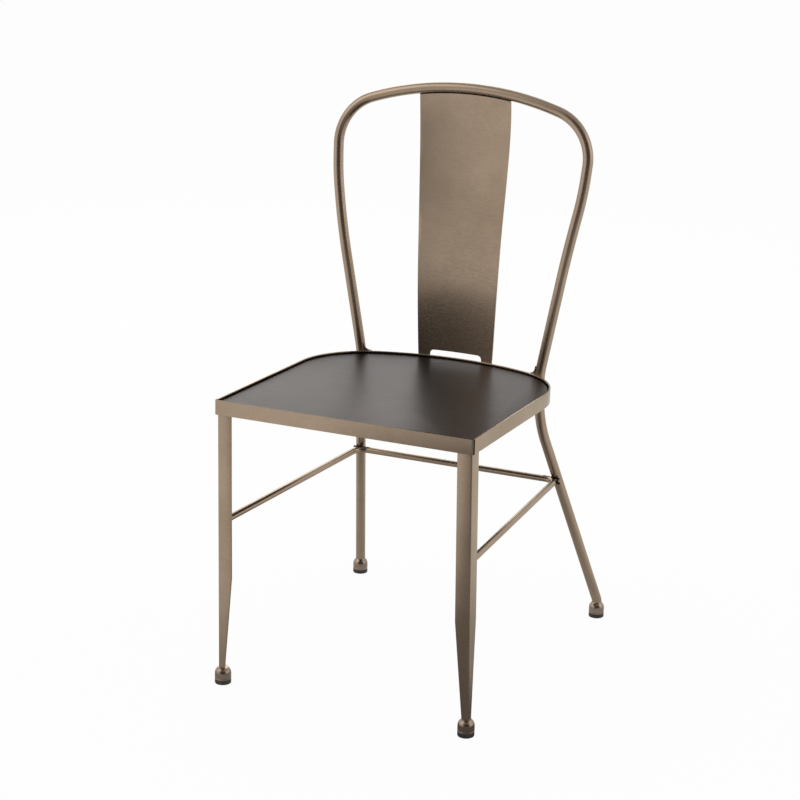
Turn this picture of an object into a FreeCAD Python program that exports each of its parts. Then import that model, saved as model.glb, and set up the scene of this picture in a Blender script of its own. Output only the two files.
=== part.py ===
import FreeCAD, Part
import math
import os
import Sketcher

from FreeCAD import Placement, Rotation, Vector

# A welded metal bistro chair. Millimetres, +Z up, the sitter faces -Y, the floor is z = 0.
# The origin is under the middle of the chair's box, on the floor.

os.makedirs("parts", exist_ok=True)
doc = FreeCAD.newDocument("bistro_chair")

# Driving dimensions
SIZES = {
    # seat
    "seat_height": 450.0,
    "seat_width": 408.0,
    "seat_depth": 414.0,
    "seat_rake": 1.0,
    "rear_edge_radius": 350.0,
    "rear_corner_radius": 123.0,
    "front_corner_radius": 3.5,
    "rail_height": 22.0,
    "rail_wall": 2.5,
    "rail_seam": 0.3,
    "pan_thickness": 1.5,
    "pan_recess": 3.5,
    "pan_gap": 0.3,
    "pan_flange": 14.0,
    "pan_corner_radius": 3.0,
    "pan_fold": 1.2,
    "pan_relief": 27.0,
    # rear legs and back hoop, one bent tube
    "tube_diameter": 16.0,
    "tube_wall": 1.5,
    "tube_bore_depth": 14.0,
    "tube_contact": 0.1,
    "tube_bearing": 56.7,
    "rear_foot_out": 13.3,
    "rear_foot_run": 530.8,
    "toe_height": 28.5,
    "toe_radius": 18.0,
    "knee_drop": 84.0,
    "knee_out": 1.0,
    "knee_back": 3.2,
    "knee_radius": 200.0,
    "waist_drop": 8.0,
    "waist_radius": 150.0,
    "lean_run": 87.5,
    "lean_radius": 600.0,
    "hoop_lean": 8.65,
    "shoulder_run": 43.3,
    "shoulder_radius": 500.0,
    "upper_side_angle": 3.1,
    "hoop_out": 4.2,
    "hoop_corner_radius": 76.5,
    "crown_radius": 500.0,
    "crown_rise": 419.5,
    # back splat
    "splat_thickness": 2.0,
    "splat_contact": 0.3,
    "splat_foot_drop": 26.0,
    "splat_waist_rise": 12.5,
    "splat_low_rise": 96.5,
    "splat_high_rise": 246.5,
    "splat_top_drop": 3.5,
    "splat_low_offset": 1.9,
    "splat_high_offset": 4.2,
    "splat_low_sag": 3.8,
    "splat_high_sag": 2.5,
    "splat_top_sag": 0.8,
    "splat_foot_half": 62.0,
    "splat_waist_half": 63.8,
    "splat_low_half": 66.8,
    "splat_high_half": 71.4,
    "splat_top_half": 75.6,
    "slot_half_width": 44.0,
    "slot_rise": 8.6,
    "slot_corner": 6.0,
    # front legs, folded angle
    "leg_flange": 23.0,
    "leg_foot_flange": 10.5,
    "leg_wall": 2.5,
    "leg_corner_radius": 3.0,
    "leg_gap": 0.5,
    "leg_head_gap": 1.1,
    "leg_taper_start": 175.0,
    "leg_toe_height": 22.0,
    "leg_splay": 4.4,
    "leg_setback": 7.6,
    # stretcher
    "stretcher_diameter": 10.0,
    "stretcher_height": 262.0,
    "stretcher_bend_radius": 20.0,
    "stretcher_bearing": 58.0,
    "stretcher_contact": 0.3,
    "stretcher_front_gap": 0.6,
    # feet
    "cup_radius": 12.5,
    "cup_shoulder_height": 19.5,
    "cup_top": 26.0,
    "cup_lip": 1.5,
    "cup_bore_clearance": 0.3,
    "glide_height": 7.0,
    "washer_thickness": 2.0,
    "end_clearance": 0.3,
}

sheet = doc.addObject("Spreadsheet::Sheet", "Sizes")
for row, (alias, value) in enumerate(SIZES.items(), start=1):
    sheet.set(f"A{row}", alias)
    sheet.set(f"B{row}", str(value))
    sheet.setAlias(f"B{row}", alias)
doc.recompute()


def size(alias):
    """One driving dimension, read from the sheet."""
    return float(sheet.get(alias))


def sine(alias):
    return math.sin(math.radians(size(alias)))


def cosine(alias):
    return math.cos(math.radians(size(alias)))


# Values that several pieces share, each with the formula that ties it to the sheet
FRONT_Y = ("(-(Sizes.rear_foot_run + Sizes.cup_radius"
           " - Sizes.rail_height * sin(Sizes.seat_rake * 1 deg)) / 2)")
front_y = -(size("rear_foot_run") + size("cup_radius")
            - size("rail_height") * sine("seat_rake")) / 2
rear_foot_y = front_y + size("rear_foot_run")
tube_radius = size("tube_diameter") / 2
half_width = size("seat_width") / 2
rear_foot_x = half_width + size("rear_foot_out")
LEAN_RISE = ("((Sizes.crown_radius - (Sizes.crown_radius - Sizes.hoop_corner_radius)"
             " * cos(asin((Sizes.seat_width / 2 + Sizes.hoop_out - Sizes.hoop_corner_radius)"
             " / (Sizes.crown_radius - Sizes.hoop_corner_radius)))"
             " + Sizes.hoop_corner_radius * sin(Sizes.upper_side_angle * 1 deg)"
             " + Sizes.shoulder_run * cos(Sizes.upper_side_angle * 1 deg)"
             " + Sizes.lean_run) * cos(Sizes.hoop_lean * 1 deg))")
RIM_BACK_Z = "(Sizes.seat_height - Sizes.seat_depth * tan(Sizes.seat_rake * 1 deg))"
rim_back_z = size("seat_height") - size("seat_depth") * sine("seat_rake") / cosine("seat_rake")
CROWN_Z = "(Sizes.seat_height + Sizes.crown_rise)"
crown_z = size("seat_height") + size("crown_rise")
SPLAT_FOOT_Z = "(Sizes.seat_height - Sizes.splat_foot_drop)"
LEG_END = "(Sizes.glide_height + Sizes.washer_thickness + Sizes.end_clearance)"
RIM_BACK_Y = f"({FRONT_Y} + Sizes.seat_depth)"
rim_back_y = front_y + size("seat_depth")

# The seat's rear corner arc is tangent to the side rail and to the rear edge's arc.
corner_x = half_width - size("rear_corner_radius")
rear_centre_y = size("seat_depth") - size("rear_edge_radius")
corner_reach = size("rear_edge_radius") - size("rear_corner_radius")
corner_y = rear_centre_y + math.sqrt(corner_reach**2 - corner_x**2)

# The hoop tube stands against the outside of that corner.
tube_reach = size("rear_corner_radius") + tube_radius + size("tube_contact")
tube_x = corner_x + tube_reach * cosine("tube_bearing")
tube_y = front_y + corner_y + tube_reach * sine("tube_bearing")
TUBE_Y = (f"({FRONT_Y} + Sizes.seat_depth - Sizes.rear_edge_radius"
          " + sqrt((Sizes.rear_edge_radius - Sizes.rear_corner_radius)^2"
          " - (Sizes.seat_width / 2 - Sizes.rear_corner_radius)^2)"
          " + (Sizes.rear_corner_radius + Sizes.tube_diameter / 2 + Sizes.tube_contact)"
          " * sin(Sizes.tube_bearing * 1 deg))")


def seat_frame():
    """The seat's own frame: origin on the front rail's top edge, tipped back by the rake."""
    return Placement(
        Vector(0, front_y, size("seat_height")),
        Rotation(Vector(1, 0, 0), -size("seat_rake")),
    )


# Helpers
def new_body(name):
    body = doc.addObject("PartDesign::Body", name)
    body.Label = name
    return body


def new_part(kind, name, placement=None, **formulas):
    """A Part object with its sizes tied to the sheet."""
    thing = doc.addObject(kind, name)
    thing.Label = name
    for prop, formula in formulas.items():
        thing.setExpression(prop, formula)
    if placement is not None:
        thing.Placement = placement
    return thing


def origin_plane(body, role):
    return next(f for f in body.Origin.OriginFeatures if f.Role == role)


def new_sketch(body, name, role="XY_Plane", level=None):
    """A sketch on one of the body's own planes, lifted by a formula."""
    sketch = body.newObject("Sketcher::SketchObject", name)
    sketch.AttachmentSupport = [(origin_plane(body, role), "")]
    sketch.MapMode = "FlatFace"
    if level is not None:
        sketch.setExpression("AttachmentOffset.Base.z", level)
    return sketch


def dimension(sketch, constraint, name, formula):
    """Adds a dimension to a sketch and ties it to the sheet."""
    index = sketch.addConstraint(constraint)
    sketch.renameConstraint(index, name)
    sketch.setExpression(f"Constraints.{name}", formula)


def locate(sketch, kind, edge, point, value, name, formula):
    """Fixes one coordinate of a point; the formula gives its distance from the origin."""
    if formula is None:
        axis = -1 if kind == "DistanceY" else -2
        sketch.addConstraint(Sketcher.Constraint("PointOnObject", edge, point, axis))
    elif value > 0:
        rule = Sketcher.Constraint(kind, -1, 1, edge, point, value)
        dimension(sketch, rule, name, formula)
    else:
        rule = Sketcher.Constraint(kind, edge, point, -1, 1, -value)
        dimension(sketch, rule, name, formula)


def closed_outline(sketch, corners):
    """A closed polygon; each corner is (x, formula of |x|, y, formula of |y|)."""
    points = [Vector(x, y, 0) for x, _, y, _ in corners]
    lines = [Part.LineSegment(a, b) for a, b in zip(points, points[1:] + points[:1])]
    first = sketch.addGeometry(lines, False)[0]
    count = len(corners)
    for i, (x, x_formula, y, y_formula) in enumerate(corners):
        edge, after = first + i, first + (i + 1) % count
        sketch.addConstraint(Sketcher.Constraint("Coincident", edge, 2, after, 1))
        locate(sketch, "DistanceX", edge, 1, x, f"x_{edge}", x_formula)
        locate(sketch, "DistanceY", edge, 1, y, f"y_{edge}", y_formula)


def pad(body, sketch, name, length, reverse=False):
    feature = body.newObject("PartDesign::Pad", name)
    feature.Profile = sketch
    feature.Reversed = reverse
    feature.setExpression("Length", length)
    sketch.Visibility = False
    doc.recompute()
    return feature


def pocket(body, sketch, name, length, reverse=False, midplane=False):
    feature = body.newObject("PartDesign::Pocket", name)
    feature.Profile = sketch
    feature.Reversed = reverse
    feature.Midplane = midplane
    feature.setExpression("Length", length)
    sketch.Visibility = False
    before = feature.BaseFeature.Shape.Volume
    doc.recompute()
    if feature.Shape.Volume > before - 0.5:
        raise ValueError(f"{name} cuts nothing")
    return feature


def dress_edges(body, kind, name, wanted, **sizes):
    """Rounds or bevels the edges of the body's tip that the test picks out."""
    tip = body.Tip
    names = [f"Edge{i}" for i, edge in enumerate(tip.Shape.Edges, 1) if wanted(edge)]
    if not names:
        raise ValueError(f"{name} finds no edge")
    feature = body.newObject(kind, name)
    feature.Base = (tip, names)
    for prop, formula in sizes.items():
        feature.setExpression(prop, formula)
    doc.recompute()
    return feature


def bent_path(vertices, radii):
    """Edges along the vertices, with each inner corner rounded by its bend radius."""
    edges = []
    start = vertices[0]
    for before, corner, after, radius in zip(vertices, vertices[1:], vertices[2:], radii):
        back = (before - corner).normalize()
        ahead = (after - corner).normalize()
        half = back.getAngle(ahead) / 2
        reach = radius / math.tan(half)
        first, last = corner + back * reach, corner + ahead * reach
        middle = corner + (back + ahead).normalize() * (radius / math.sin(half) - radius)
        edges.append(Part.makeLine(start, first))
        edges.append(Part.Arc(first, middle, last).toShape())
        start = last
    edges.append(Part.makeLine(start, vertices[-1]))
    return edges


def round_sweep(name, path, radius, start, direction):
    """A round bar along a path."""
    facing = Placement(start, Rotation(Vector(0, 0, 1), direction))
    circle = new_part("Part::Circle", f"{name}_section", facing, Radius=radius)
    sweep = new_part("Part::Sweep", name)
    sweep.Sections = [circle]
    sweep.Spine = (path, [])
    sweep.Solid = True
    sweep.Frenet = False
    return sweep


# Seat outlines
def seat_outline(sketch, inset, inset_formula, front_radius, front_radius_formula):
    """Closed D-shaped outline: front edge, straight sides, round rear corners, bowed rear.

    inset moves the whole outline inwards; the two front corners have their own radius.
    """
    front = inset
    side = half_width - inset
    corner = size("rear_corner_radius") - inset
    rear = size("rear_edge_radius") - inset
    tip = math.atan2(corner_y - rear_centre_y, corner_x)
    joint = Vector(rear * math.cos(tip), rear_centre_y + rear * math.sin(tip), 0)
    r = front_radius

    def arc(centre, radius, start, end):
        circle = Part.Circle(centre, Vector(0, 0, 1), radius)
        return Part.ArcOfCircle(circle, start, end)

    right, left = Vector(corner_x, corner_y, 0), Vector(-corner_x, corner_y, 0)
    first = sketch.addGeometry([
        Part.LineSegment(Vector(-side + r, front, 0), Vector(side - r, front, 0)),
        arc(Vector(side - r, front + r, 0), r, -math.pi / 2, 0),
        Part.LineSegment(Vector(side, front + r, 0), Vector(side, corner_y, 0)),
        arc(right, corner, 0, tip),
        arc(Vector(0, rear_centre_y, 0), rear, tip, math.pi - tip),
        arc(left, corner, math.pi - tip, math.pi),
        Part.LineSegment(Vector(-side, corner_y, 0), Vector(-side, front + r, 0)),
        arc(Vector(-side + r, front + r, 0), r, math.pi, 1.5 * math.pi),
    ], False)[0]
    front_edge, front_right, right_side, right_corner = range(first, first + 4)
    rear_edge, left_corner, left_side, front_left = range(first + 4, first + 8)
    ring = [front_edge, front_right, right_side, right_corner,
            rear_edge, left_corner, left_side, front_left]
    for one, two in zip(ring, ring[1:] + ring[:1]):
        sketch.addConstraint(Sketcher.Constraint("Tangent", one, 2, two, 1))
    sketch.addConstraint(Sketcher.Constraint("Horizontal", front_edge))
    sketch.addConstraint(Sketcher.Constraint("Vertical", right_side))
    sketch.addConstraint(Sketcher.Constraint("Vertical", left_side))
    sketch.addConstraint(Sketcher.Constraint("PointOnObject", rear_edge, 3, -2))
    sketch.addConstraint(Sketcher.Constraint("Equal", front_right, front_left))
    sketch.addConstraint(Sketcher.Constraint("Equal", right_corner, left_corner))
    tag = f"_{first}"
    dimension(sketch, Sketcher.Constraint("Radius", front_right, r), "front_r" + tag,
              front_radius_formula)
    dimension(sketch, Sketcher.Constraint("Radius", right_corner, corner), "corner_r" + tag,
              f"Sizes.rear_corner_radius - ({inset_formula})")
    dimension(sketch, Sketcher.Constraint("Radius", rear_edge, rear), "rear_r" + tag,
              f"Sizes.rear_edge_radius - ({inset_formula})")
    dimension(sketch, Sketcher.Constraint("DistanceX", -1, 1, right_side, 1, side), "right" + tag,
              f"Sizes.seat_width / 2 - ({inset_formula})")
    dimension(sketch, Sketcher.Constraint("DistanceX", left_side, 1, -1, 1, side), "left" + tag,
              f"Sizes.seat_width / 2 - ({inset_formula})")
    dimension(sketch, Sketcher.Constraint("DistanceY", -1, 1, rear_edge, 3, rear_centre_y),
              "rear_y" + tag, "Sizes.seat_depth - Sizes.rear_edge_radius")
    locate(sketch, "DistanceY", front_edge, 1, front, "front_y" + tag,
           inset_formula if inset else None)


def ring_pad(body, name, level, insets, front_radii, length):
    """A band between two offsets of the seat outline, extruded downwards."""
    sketch = new_sketch(body, f"{name}_outline", level=level)
    for (inset, inset_formula), (radius, radius_formula) in zip(insets, front_radii):
        seat_outline(sketch, inset, inset_formula, radius, radius_formula)
    return pad(body, sketch, name, length, reverse=True)


# Seat pan
def make_pan():
    """Pressed sheet seat: a flat plate with its edge folded down inside the rails."""
    body = new_body("seat_pan")
    inset = size("rail_wall") + size("pan_gap")
    inset_formula = "Sizes.rail_wall + Sizes.pan_gap"
    corner = (size("pan_corner_radius"), "Sizes.pan_corner_radius")
    top = "-Sizes.pan_recess"

    plate = new_sketch(body, "pan_plate_outline", level=top)
    seat_outline(plate, inset, inset_formula, *corner)
    pad(body, plate, "pan_plate", "Sizes.pan_thickness", reverse=True)

    inner = inset + size("pan_thickness")
    inner_formula = inset_formula + " + Sizes.pan_thickness"
    inner_corner = (size("pan_corner_radius") - size("pan_thickness"),
                    "Sizes.pan_corner_radius - Sizes.pan_thickness")
    ring_pad(body, "pan_flange", top, [(inset, inset_formula), (inner, inner_formula)],
             [corner, inner_corner], "Sizes.pan_flange")

    def on_top_rim(edge):
        """Edges of the plate's upper face."""
        box = edge.BoundBox
        return box.ZMin > -size("pan_recess") - 1e-4

    dress_edges(body, "PartDesign::Chamfer", "pan_fold", on_top_rim, Size="Sizes.pan_fold")

    # The folded edge stops short of the front corners, where the legs stand.
    reliefs = new_sketch(body, "pan_relief_outline",
                         level="-Sizes.pan_recess - Sizes.pan_thickness")
    far = half_width
    near = far - inset - size("pan_relief")
    near_formula = f"Sizes.seat_width / 2 - ({inset_formula}) - Sizes.pan_relief"
    far_formula = "Sizes.seat_width / 2"
    depth = inset + size("pan_relief")
    depth_formula = f"{inset_formula} + Sizes.pan_relief"
    for side in (1, -1):
        closed_outline(reliefs, [
            (side * near, near_formula, 0, None),
            (side * far, far_formula, 0, None),
            (side * far, far_formula, depth, depth_formula),
            (side * near, near_formula, depth, depth_formula),
        ])
    pocket(body, reliefs, "pan_relief_cut", "Sizes.pan_flange")
    body.Placement = seat_frame()
    return body


# Seat rails
def make_rail(name, near, near_formula, far, far_formula):
    """A piece of the flat band round the seat: what lies outside the y range is cut off."""
    body = new_body(name)
    front_corner = (size("front_corner_radius"), "Sizes.front_corner_radius")
    ring_pad(body, f"{name}_band", None,
             [(0, "0"), (size("rail_wall"), "Sizes.rail_wall")],
             [front_corner, (size("front_corner_radius") - size("rail_wall"),
                             "Sizes.front_corner_radius - Sizes.rail_wall")],
             "Sizes.rail_height")
    cut = new_sketch(body, f"{name}_end_outline")
    reach, reach_formula = size("seat_width"), "Sizes.seat_width"
    closed_outline(cut, [
        (-reach, reach_formula, near, near_formula),
        (reach, reach_formula, near, near_formula),
        (reach, reach_formula, far, far_formula),
        (-reach, reach_formula, far, far_formula),
    ])
    pocket(body, cut, f"{name}_end_cut", "Sizes.rail_height")
    body.Placement = seat_frame()
    return body


# Rear legs and hoop
def leg_end():
    """Height of the legs' lower ends, on the washers in the cups."""
    return size("glide_height") + size("washer_thickness") + size("end_clearance")


def hoop_path():
    """Centre line of the bent tube, from one rear foot over the crown to the other.

    The hoop lies in a plane that leans back: a point of it is x and the drop below the
    crown, measured along the plane. It is laid out from the crown down to the lean.
    """
    corner = size("hoop_corner_radius")
    crown = size("crown_radius")
    corner_in = half_width + size("hoop_out") - corner
    turn = math.asin(corner_in / (crown - corner))
    corner_drop = crown - (crown - corner) * math.cos(turn)
    side = math.radians(size("upper_side_angle"))
    side_drop = corner_drop + corner * math.sin(side)
    shoulder_drop = side_drop + size("shoulder_run") * math.cos(side)
    lean_drop = shoulder_drop + size("lean_run")

    def hoop_point(x, drop):
        return Vector(x, tube_y + (lean_drop - drop) * sine("hoop_lean"),
                      crown_z - drop * cosine("hoop_lean"))

    def on_corner(angle):
        """Point of the corner arc at an angle from straight up."""
        return hoop_point(corner_in + corner * math.sin(angle),
                          corner_drop - corner * math.cos(angle))

    side_end = on_corner(math.pi / 2 + side)
    shoulder = hoop_point(side_end.x - size("shoulder_run") * math.sin(side), shoulder_drop)
    lean_z = hoop_point(0, lean_drop).z
    waist = Vector(tube_x, tube_y, size("seat_height") - size("waist_drop"))
    rise = (lean_z - waist.z) / (shoulder.z - waist.z)
    lean = Vector(waist.x + (shoulder.x - waist.x) * rise, tube_y, lean_z)
    knee = Vector(tube_x + size("knee_out"), tube_y + size("knee_back"),
                  size("seat_height") - size("knee_drop"))
    toe = Vector(rear_foot_x, rear_foot_y, size("toe_height"))
    foot = Vector(toe.x, toe.y, leg_end())

    radii = [size("toe_radius"), size("knee_radius"), size("waist_radius"),
             size("lean_radius"), size("shoulder_radius")]
    right = bent_path([foot, toe, knee, waist, lean, shoulder, side_end], radii)
    right.append(Part.Arc(side_end, on_corner((math.pi / 2 + side + turn) / 2),
                          on_corner(turn)).toShape())
    left = [edge.mirror(Vector(0, 0, 0), Vector(1, 0, 0)) for edge in right]
    tip = on_corner(turn)
    across = Part.Arc(tip, hoop_point(0, 0), Vector(-tip.x, tip.y, tip.z)).toShape()
    ordered = Part.sortEdges(right + [across] + left)[0]
    lean_point = Vector(0, lean.y, lean.z)
    return Part.Wire(ordered), foot, toe, knee, lean_point


def make_tube():
    """The bent tube, and a slightly thicker bar along its path that trims its neighbours.

    Only the two lower ends are bored: the cups close them and nothing opens in between.
    """
    wire, foot, toe, knee, lean = hoop_path()
    path = doc.addObject("Part::Feature", "hoop_path")
    path.Shape = wire
    up = Vector(0, 0, 1)
    bar = round_sweep("hoop_bar", path, "Sizes.tube_diameter / 2", foot, up)
    envelope = round_sweep("hoop_envelope", path,
                           "Sizes.tube_diameter / 2 + Sizes.splat_contact", foot, up)
    ends = [new_part("Part::Cylinder", f"tube_bore_{word}",
                     Placement(Vector(side * foot.x, foot.y, foot.z), Rotation()),
                     Radius="Sizes.tube_diameter / 2 - Sizes.tube_wall",
                     Height="Sizes.tube_bore_depth")
            for side, word in ((1, "right"), (-1, "left"))]
    bores = new_part("Part::Compound", "tube_bores")
    bores.Links = ends
    tube = new_part("Part::Cut", "rear_leg_back_tube")
    tube.Base, tube.Tool = bar, bores
    return tube, envelope, toe, knee, lean


# Back splat
def splat_section(body, name, height, front_y_value, front_y_formula, radius,
                  radius_formula, half, half_formula):
    """One horizontal section: a strip bowed to the rear, ends cut square."""
    sketch = new_sketch(body, name, level=height)
    thick = size("splat_thickness")
    centre = Vector(0, front_y_value - radius, 0)

    def bow(r):
        swing = math.asin(half / r)
        circle = Part.Circle(centre, Vector(0, 0, 1), r)
        return Part.ArcOfCircle(circle, math.pi / 2 - swing, math.pi / 2 + swing)

    front, back = bow(radius), bow(radius + thick)
    front_edge, right_end, back_edge, left_end = sketch.addGeometry([
        front,
        Part.LineSegment(front.StartPoint, back.StartPoint),
        back,
        Part.LineSegment(back.EndPoint, front.EndPoint),
    ], False)
    for one, end, two, other_end in (
        (front_edge, 1, right_end, 1),
        (right_end, 2, back_edge, 1),
        (back_edge, 2, left_end, 1),
        (left_end, 2, front_edge, 2),
        (front_edge, 3, back_edge, 3),
    ):
        sketch.addConstraint(Sketcher.Constraint("Coincident", one, end, two, other_end))
    sketch.addConstraint(Sketcher.Constraint("Vertical", right_end))
    sketch.addConstraint(Sketcher.Constraint("Vertical", left_end))
    sketch.addConstraint(Sketcher.Constraint("PointOnObject", front_edge, 3, -2))
    dimension(sketch, Sketcher.Constraint("Radius", front_edge, radius), "front_r",
              radius_formula)
    dimension(sketch, Sketcher.Constraint("Radius", back_edge, radius + thick), "back_r",
              f"{radius_formula} + Sizes.splat_thickness")
    dimension(sketch, Sketcher.Constraint("DistanceX", -1, 1, right_end, 1, half),
              "right", half_formula)
    dimension(sketch, Sketcher.Constraint("DistanceX", left_end, 1, -1, 1, half),
              "left", half_formula)
    locate(sketch, "DistanceY", front_edge, 3, centre.y, "centre",
           f"{radius_formula} - {front_y_formula}")
    return sketch


def slot_outline(sketch):
    """The slot at the splat's foot: open below, its two upper corners rounded."""
    wide, radius = size("slot_half_width"), size("slot_corner")
    low = (size("seat_height") - size("splat_foot_drop")) / 2
    high = rim_back_z + size("slot_rise")
    up = Vector(0, 0, 1)

    def corner(side):
        circle = Part.Circle(Vector(side * (wide - radius), high - radius, 0), up, radius)
        start = 0 if side > 0 else math.pi / 2
        return Part.ArcOfCircle(circle, start, start + math.pi / 2)

    base, right, right_corner, top, left_corner, left = sketch.addGeometry([
        Part.LineSegment(Vector(-wide, low, 0), Vector(wide, low, 0)),
        Part.LineSegment(Vector(wide, low, 0), Vector(wide, high - radius, 0)),
        corner(1),
        Part.LineSegment(Vector(wide - radius, high, 0), Vector(radius - wide, high, 0)),
        corner(-1),
        Part.LineSegment(Vector(-wide, high - radius, 0), Vector(-wide, low, 0)),
    ], False)
    for one, two in ((right, right_corner), (right_corner, top), (top, left_corner),
                     (left_corner, left)):
        sketch.addConstraint(Sketcher.Constraint("Tangent", one, 2, two, 1))
    for one, two in ((left, base), (base, right)):
        sketch.addConstraint(Sketcher.Constraint("Coincident", one, 2, two, 1))
    sketch.addConstraint(Sketcher.Constraint("Horizontal", top))
    sketch.addConstraint(Sketcher.Constraint("Horizontal", base))
    sketch.addConstraint(Sketcher.Constraint("Vertical", right))
    sketch.addConstraint(Sketcher.Constraint("Vertical", left))
    sketch.addConstraint(Sketcher.Constraint("Equal", right_corner, left_corner))
    dimension(sketch, Sketcher.Constraint("Radius", right_corner, radius), "corner_r",
              "Sizes.slot_corner")
    locate(sketch, "DistanceX", right, 1, wide, "right", "Sizes.slot_half_width")
    locate(sketch, "DistanceX", left, 2, -wide, "left", "Sizes.slot_half_width")
    locate(sketch, "DistanceY", base, 1, low, "low", f"{SPLAT_FOOT_Z} / 2")
    locate(sketch, "DistanceY", top, 1, high, "high", f"{RIM_BACK_Z} + Sizes.slot_rise")


def make_splat(envelope, lean):
    """Bowed sheet between the seat's rear rail and the crown, with a slot at its foot."""
    body = new_body("splat_sheet")
    rim_radius = size("rear_edge_radius") + size("splat_contact")
    rim_radius_formula = "(Sizes.rear_edge_radius + Sizes.splat_contact)"
    rim_face = rim_back_y + size("splat_contact")
    rim_face_formula = f"({RIM_BACK_Y} + Sizes.splat_contact)"

    def bow_radius(half, sag):
        return (size(half)**2 + size(sag)**2) / (2 * size(sag))

    def bow_formula(half, sag):
        return f"((Sizes.{half}^2 + Sizes.{sag}^2) / (2 * Sizes.{sag}))"

    # At its top the sheet lies in the hoop's leaning plane.
    top_z = f"({CROWN_Z} - Sizes.splat_top_drop)"
    top_face = (lean.y - size("splat_thickness") / 2
                + (crown_z - size("splat_top_drop") - lean.z)
                * sine("hoop_lean") / cosine("hoop_lean"))
    top_face_formula = (f"({TUBE_Y} - Sizes.splat_thickness / 2 + ({LEAN_RISE}"
                        " - Sizes.splat_top_drop) * tan(Sizes.hoop_lean * 1 deg))")
    sections = [
        splat_section(body, "splat_foot", SPLAT_FOOT_Z,
                      rim_face, rim_face_formula, rim_radius, rim_radius_formula,
                      size("splat_foot_half"), "Sizes.splat_foot_half"),
        splat_section(body, "splat_waist", f"{RIM_BACK_Z} + Sizes.splat_waist_rise",
                      rim_face, rim_face_formula, rim_radius, rim_radius_formula,
                      size("splat_waist_half"), "Sizes.splat_waist_half"),
        splat_section(body, "splat_low", f"{RIM_BACK_Z} + Sizes.splat_low_rise",
                      rim_back_y - size("splat_low_offset"),
                      f"({RIM_BACK_Y} - Sizes.splat_low_offset)",
                      bow_radius("splat_low_half", "splat_low_sag"),
                      bow_formula("splat_low_half", "splat_low_sag"),
                      size("splat_low_half"), "Sizes.splat_low_half"),
        splat_section(body, "splat_high", f"{RIM_BACK_Z} + Sizes.splat_high_rise",
                      rim_back_y + size("splat_high_offset"),
                      f"({RIM_BACK_Y} + Sizes.splat_high_offset)",
                      bow_radius("splat_high_half", "splat_high_sag"),
                      bow_formula("splat_high_half", "splat_high_sag"),
                      size("splat_high_half"), "Sizes.splat_high_half"),
        splat_section(body, "splat_top", top_z, top_face, top_face_formula,
                      bow_radius("splat_top_half", "splat_top_sag"),
                      bow_formula("splat_top_half", "splat_top_sag"),
                      size("splat_top_half"), "Sizes.splat_top_half"),
    ]
    doc.recompute()
    loft = body.newObject("PartDesign::AdditiveLoft", "splat_loft")
    loft.Profile = sections[0]
    loft.Sections = sections[1:]
    loft.Ruled = False
    doc.recompute()

    slot = new_sketch(body, "splat_slot_outline", role="XZ_Plane")
    slot_outline(slot)
    pocket(body, slot, "splat_slot", "Sizes.seat_depth * 2", midplane=True)
    splat = new_part("Part::Cut", "back_splat")
    splat.Base, splat.Tool = body, envelope
    return splat


# Front legs
leg_top_x = half_width - size("rail_wall") - size("leg_gap")
leg_top_y = front_y + size("rail_wall") + size("leg_gap")
leg_top_z = (size("seat_height") - size("pan_recess") - size("pan_thickness")
             - size("leg_head_gap"))


def leg_frame(side):
    """The leg's frame: its outer corner at the floor, Z up along the leg."""
    foot = Vector(side * (leg_top_x + size("leg_splay")), leg_top_y + size("leg_setback"), 0)
    top = Vector(side * leg_top_x, leg_top_y, leg_top_z)
    return Placement(foot, Rotation(Vector(0, 0, 1), top - foot))


def make_leg(name, side):
    """Folded angle with its corner to the outside; both flanges narrow towards the foot."""
    body = new_body(name)
    flange, wall = size("leg_flange"), size("leg_wall")
    flange_formula, wall_formula = "Sizes.leg_flange", "Sizes.leg_wall"
    outline = new_sketch(body, f"{name}_outline", level=LEG_END)
    closed_outline(outline, [
        (0, None, 0, None),
        (-side * flange, flange_formula, 0, None),
        (-side * flange, flange_formula, wall, wall_formula),
        (-side * wall, wall_formula, wall, wall_formula),
        (-side * wall, wall_formula, flange, flange_formula),
        (0, None, flange, flange_formula),
    ])
    pad(body, outline, f"{name}_angle",
        "Sizes.seat_height - Sizes.pan_recess - Sizes.pan_thickness"
        f" - Sizes.leg_head_gap - {LEG_END}")

    def on_corner(edge):
        """The outer edge along the leg."""
        box = edge.BoundBox
        return max(abs(box.XMin), abs(box.XMax), abs(box.YMin), abs(box.YMax)) < 1e-3

    dress_edges(body, "PartDesign::Fillet", f"{name}_fold", on_corner,
                Radius="Sizes.leg_corner_radius")

    # The taper ends where the leg enters its cup.
    start, start_formula = size("leg_taper_start"), "Sizes.leg_taper_start"
    toe, toe_formula = size("leg_toe_height"), "Sizes.leg_toe_height"
    narrow, narrow_formula = size("leg_foot_flange"), "Sizes.leg_foot_flange"
    for role, sign in (("XZ_Plane", -side), ("YZ_Plane", 1)):
        taper = new_sketch(body, f"{name}_taper_{role[:2]}", role=role)
        closed_outline(taper, [
            (sign * flange, flange_formula, start, start_formula),
            (sign * narrow, narrow_formula, toe, toe_formula),
            (sign * narrow, narrow_formula, 0, None),
            (sign * flange, flange_formula, 0, None),
        ])
        pocket(body, taper, f"{name}_taper_cut_{role[:2]}", "Sizes.leg_flange * 2",
               midplane=True)
    body.Placement = leg_frame(side)
    return body


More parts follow.
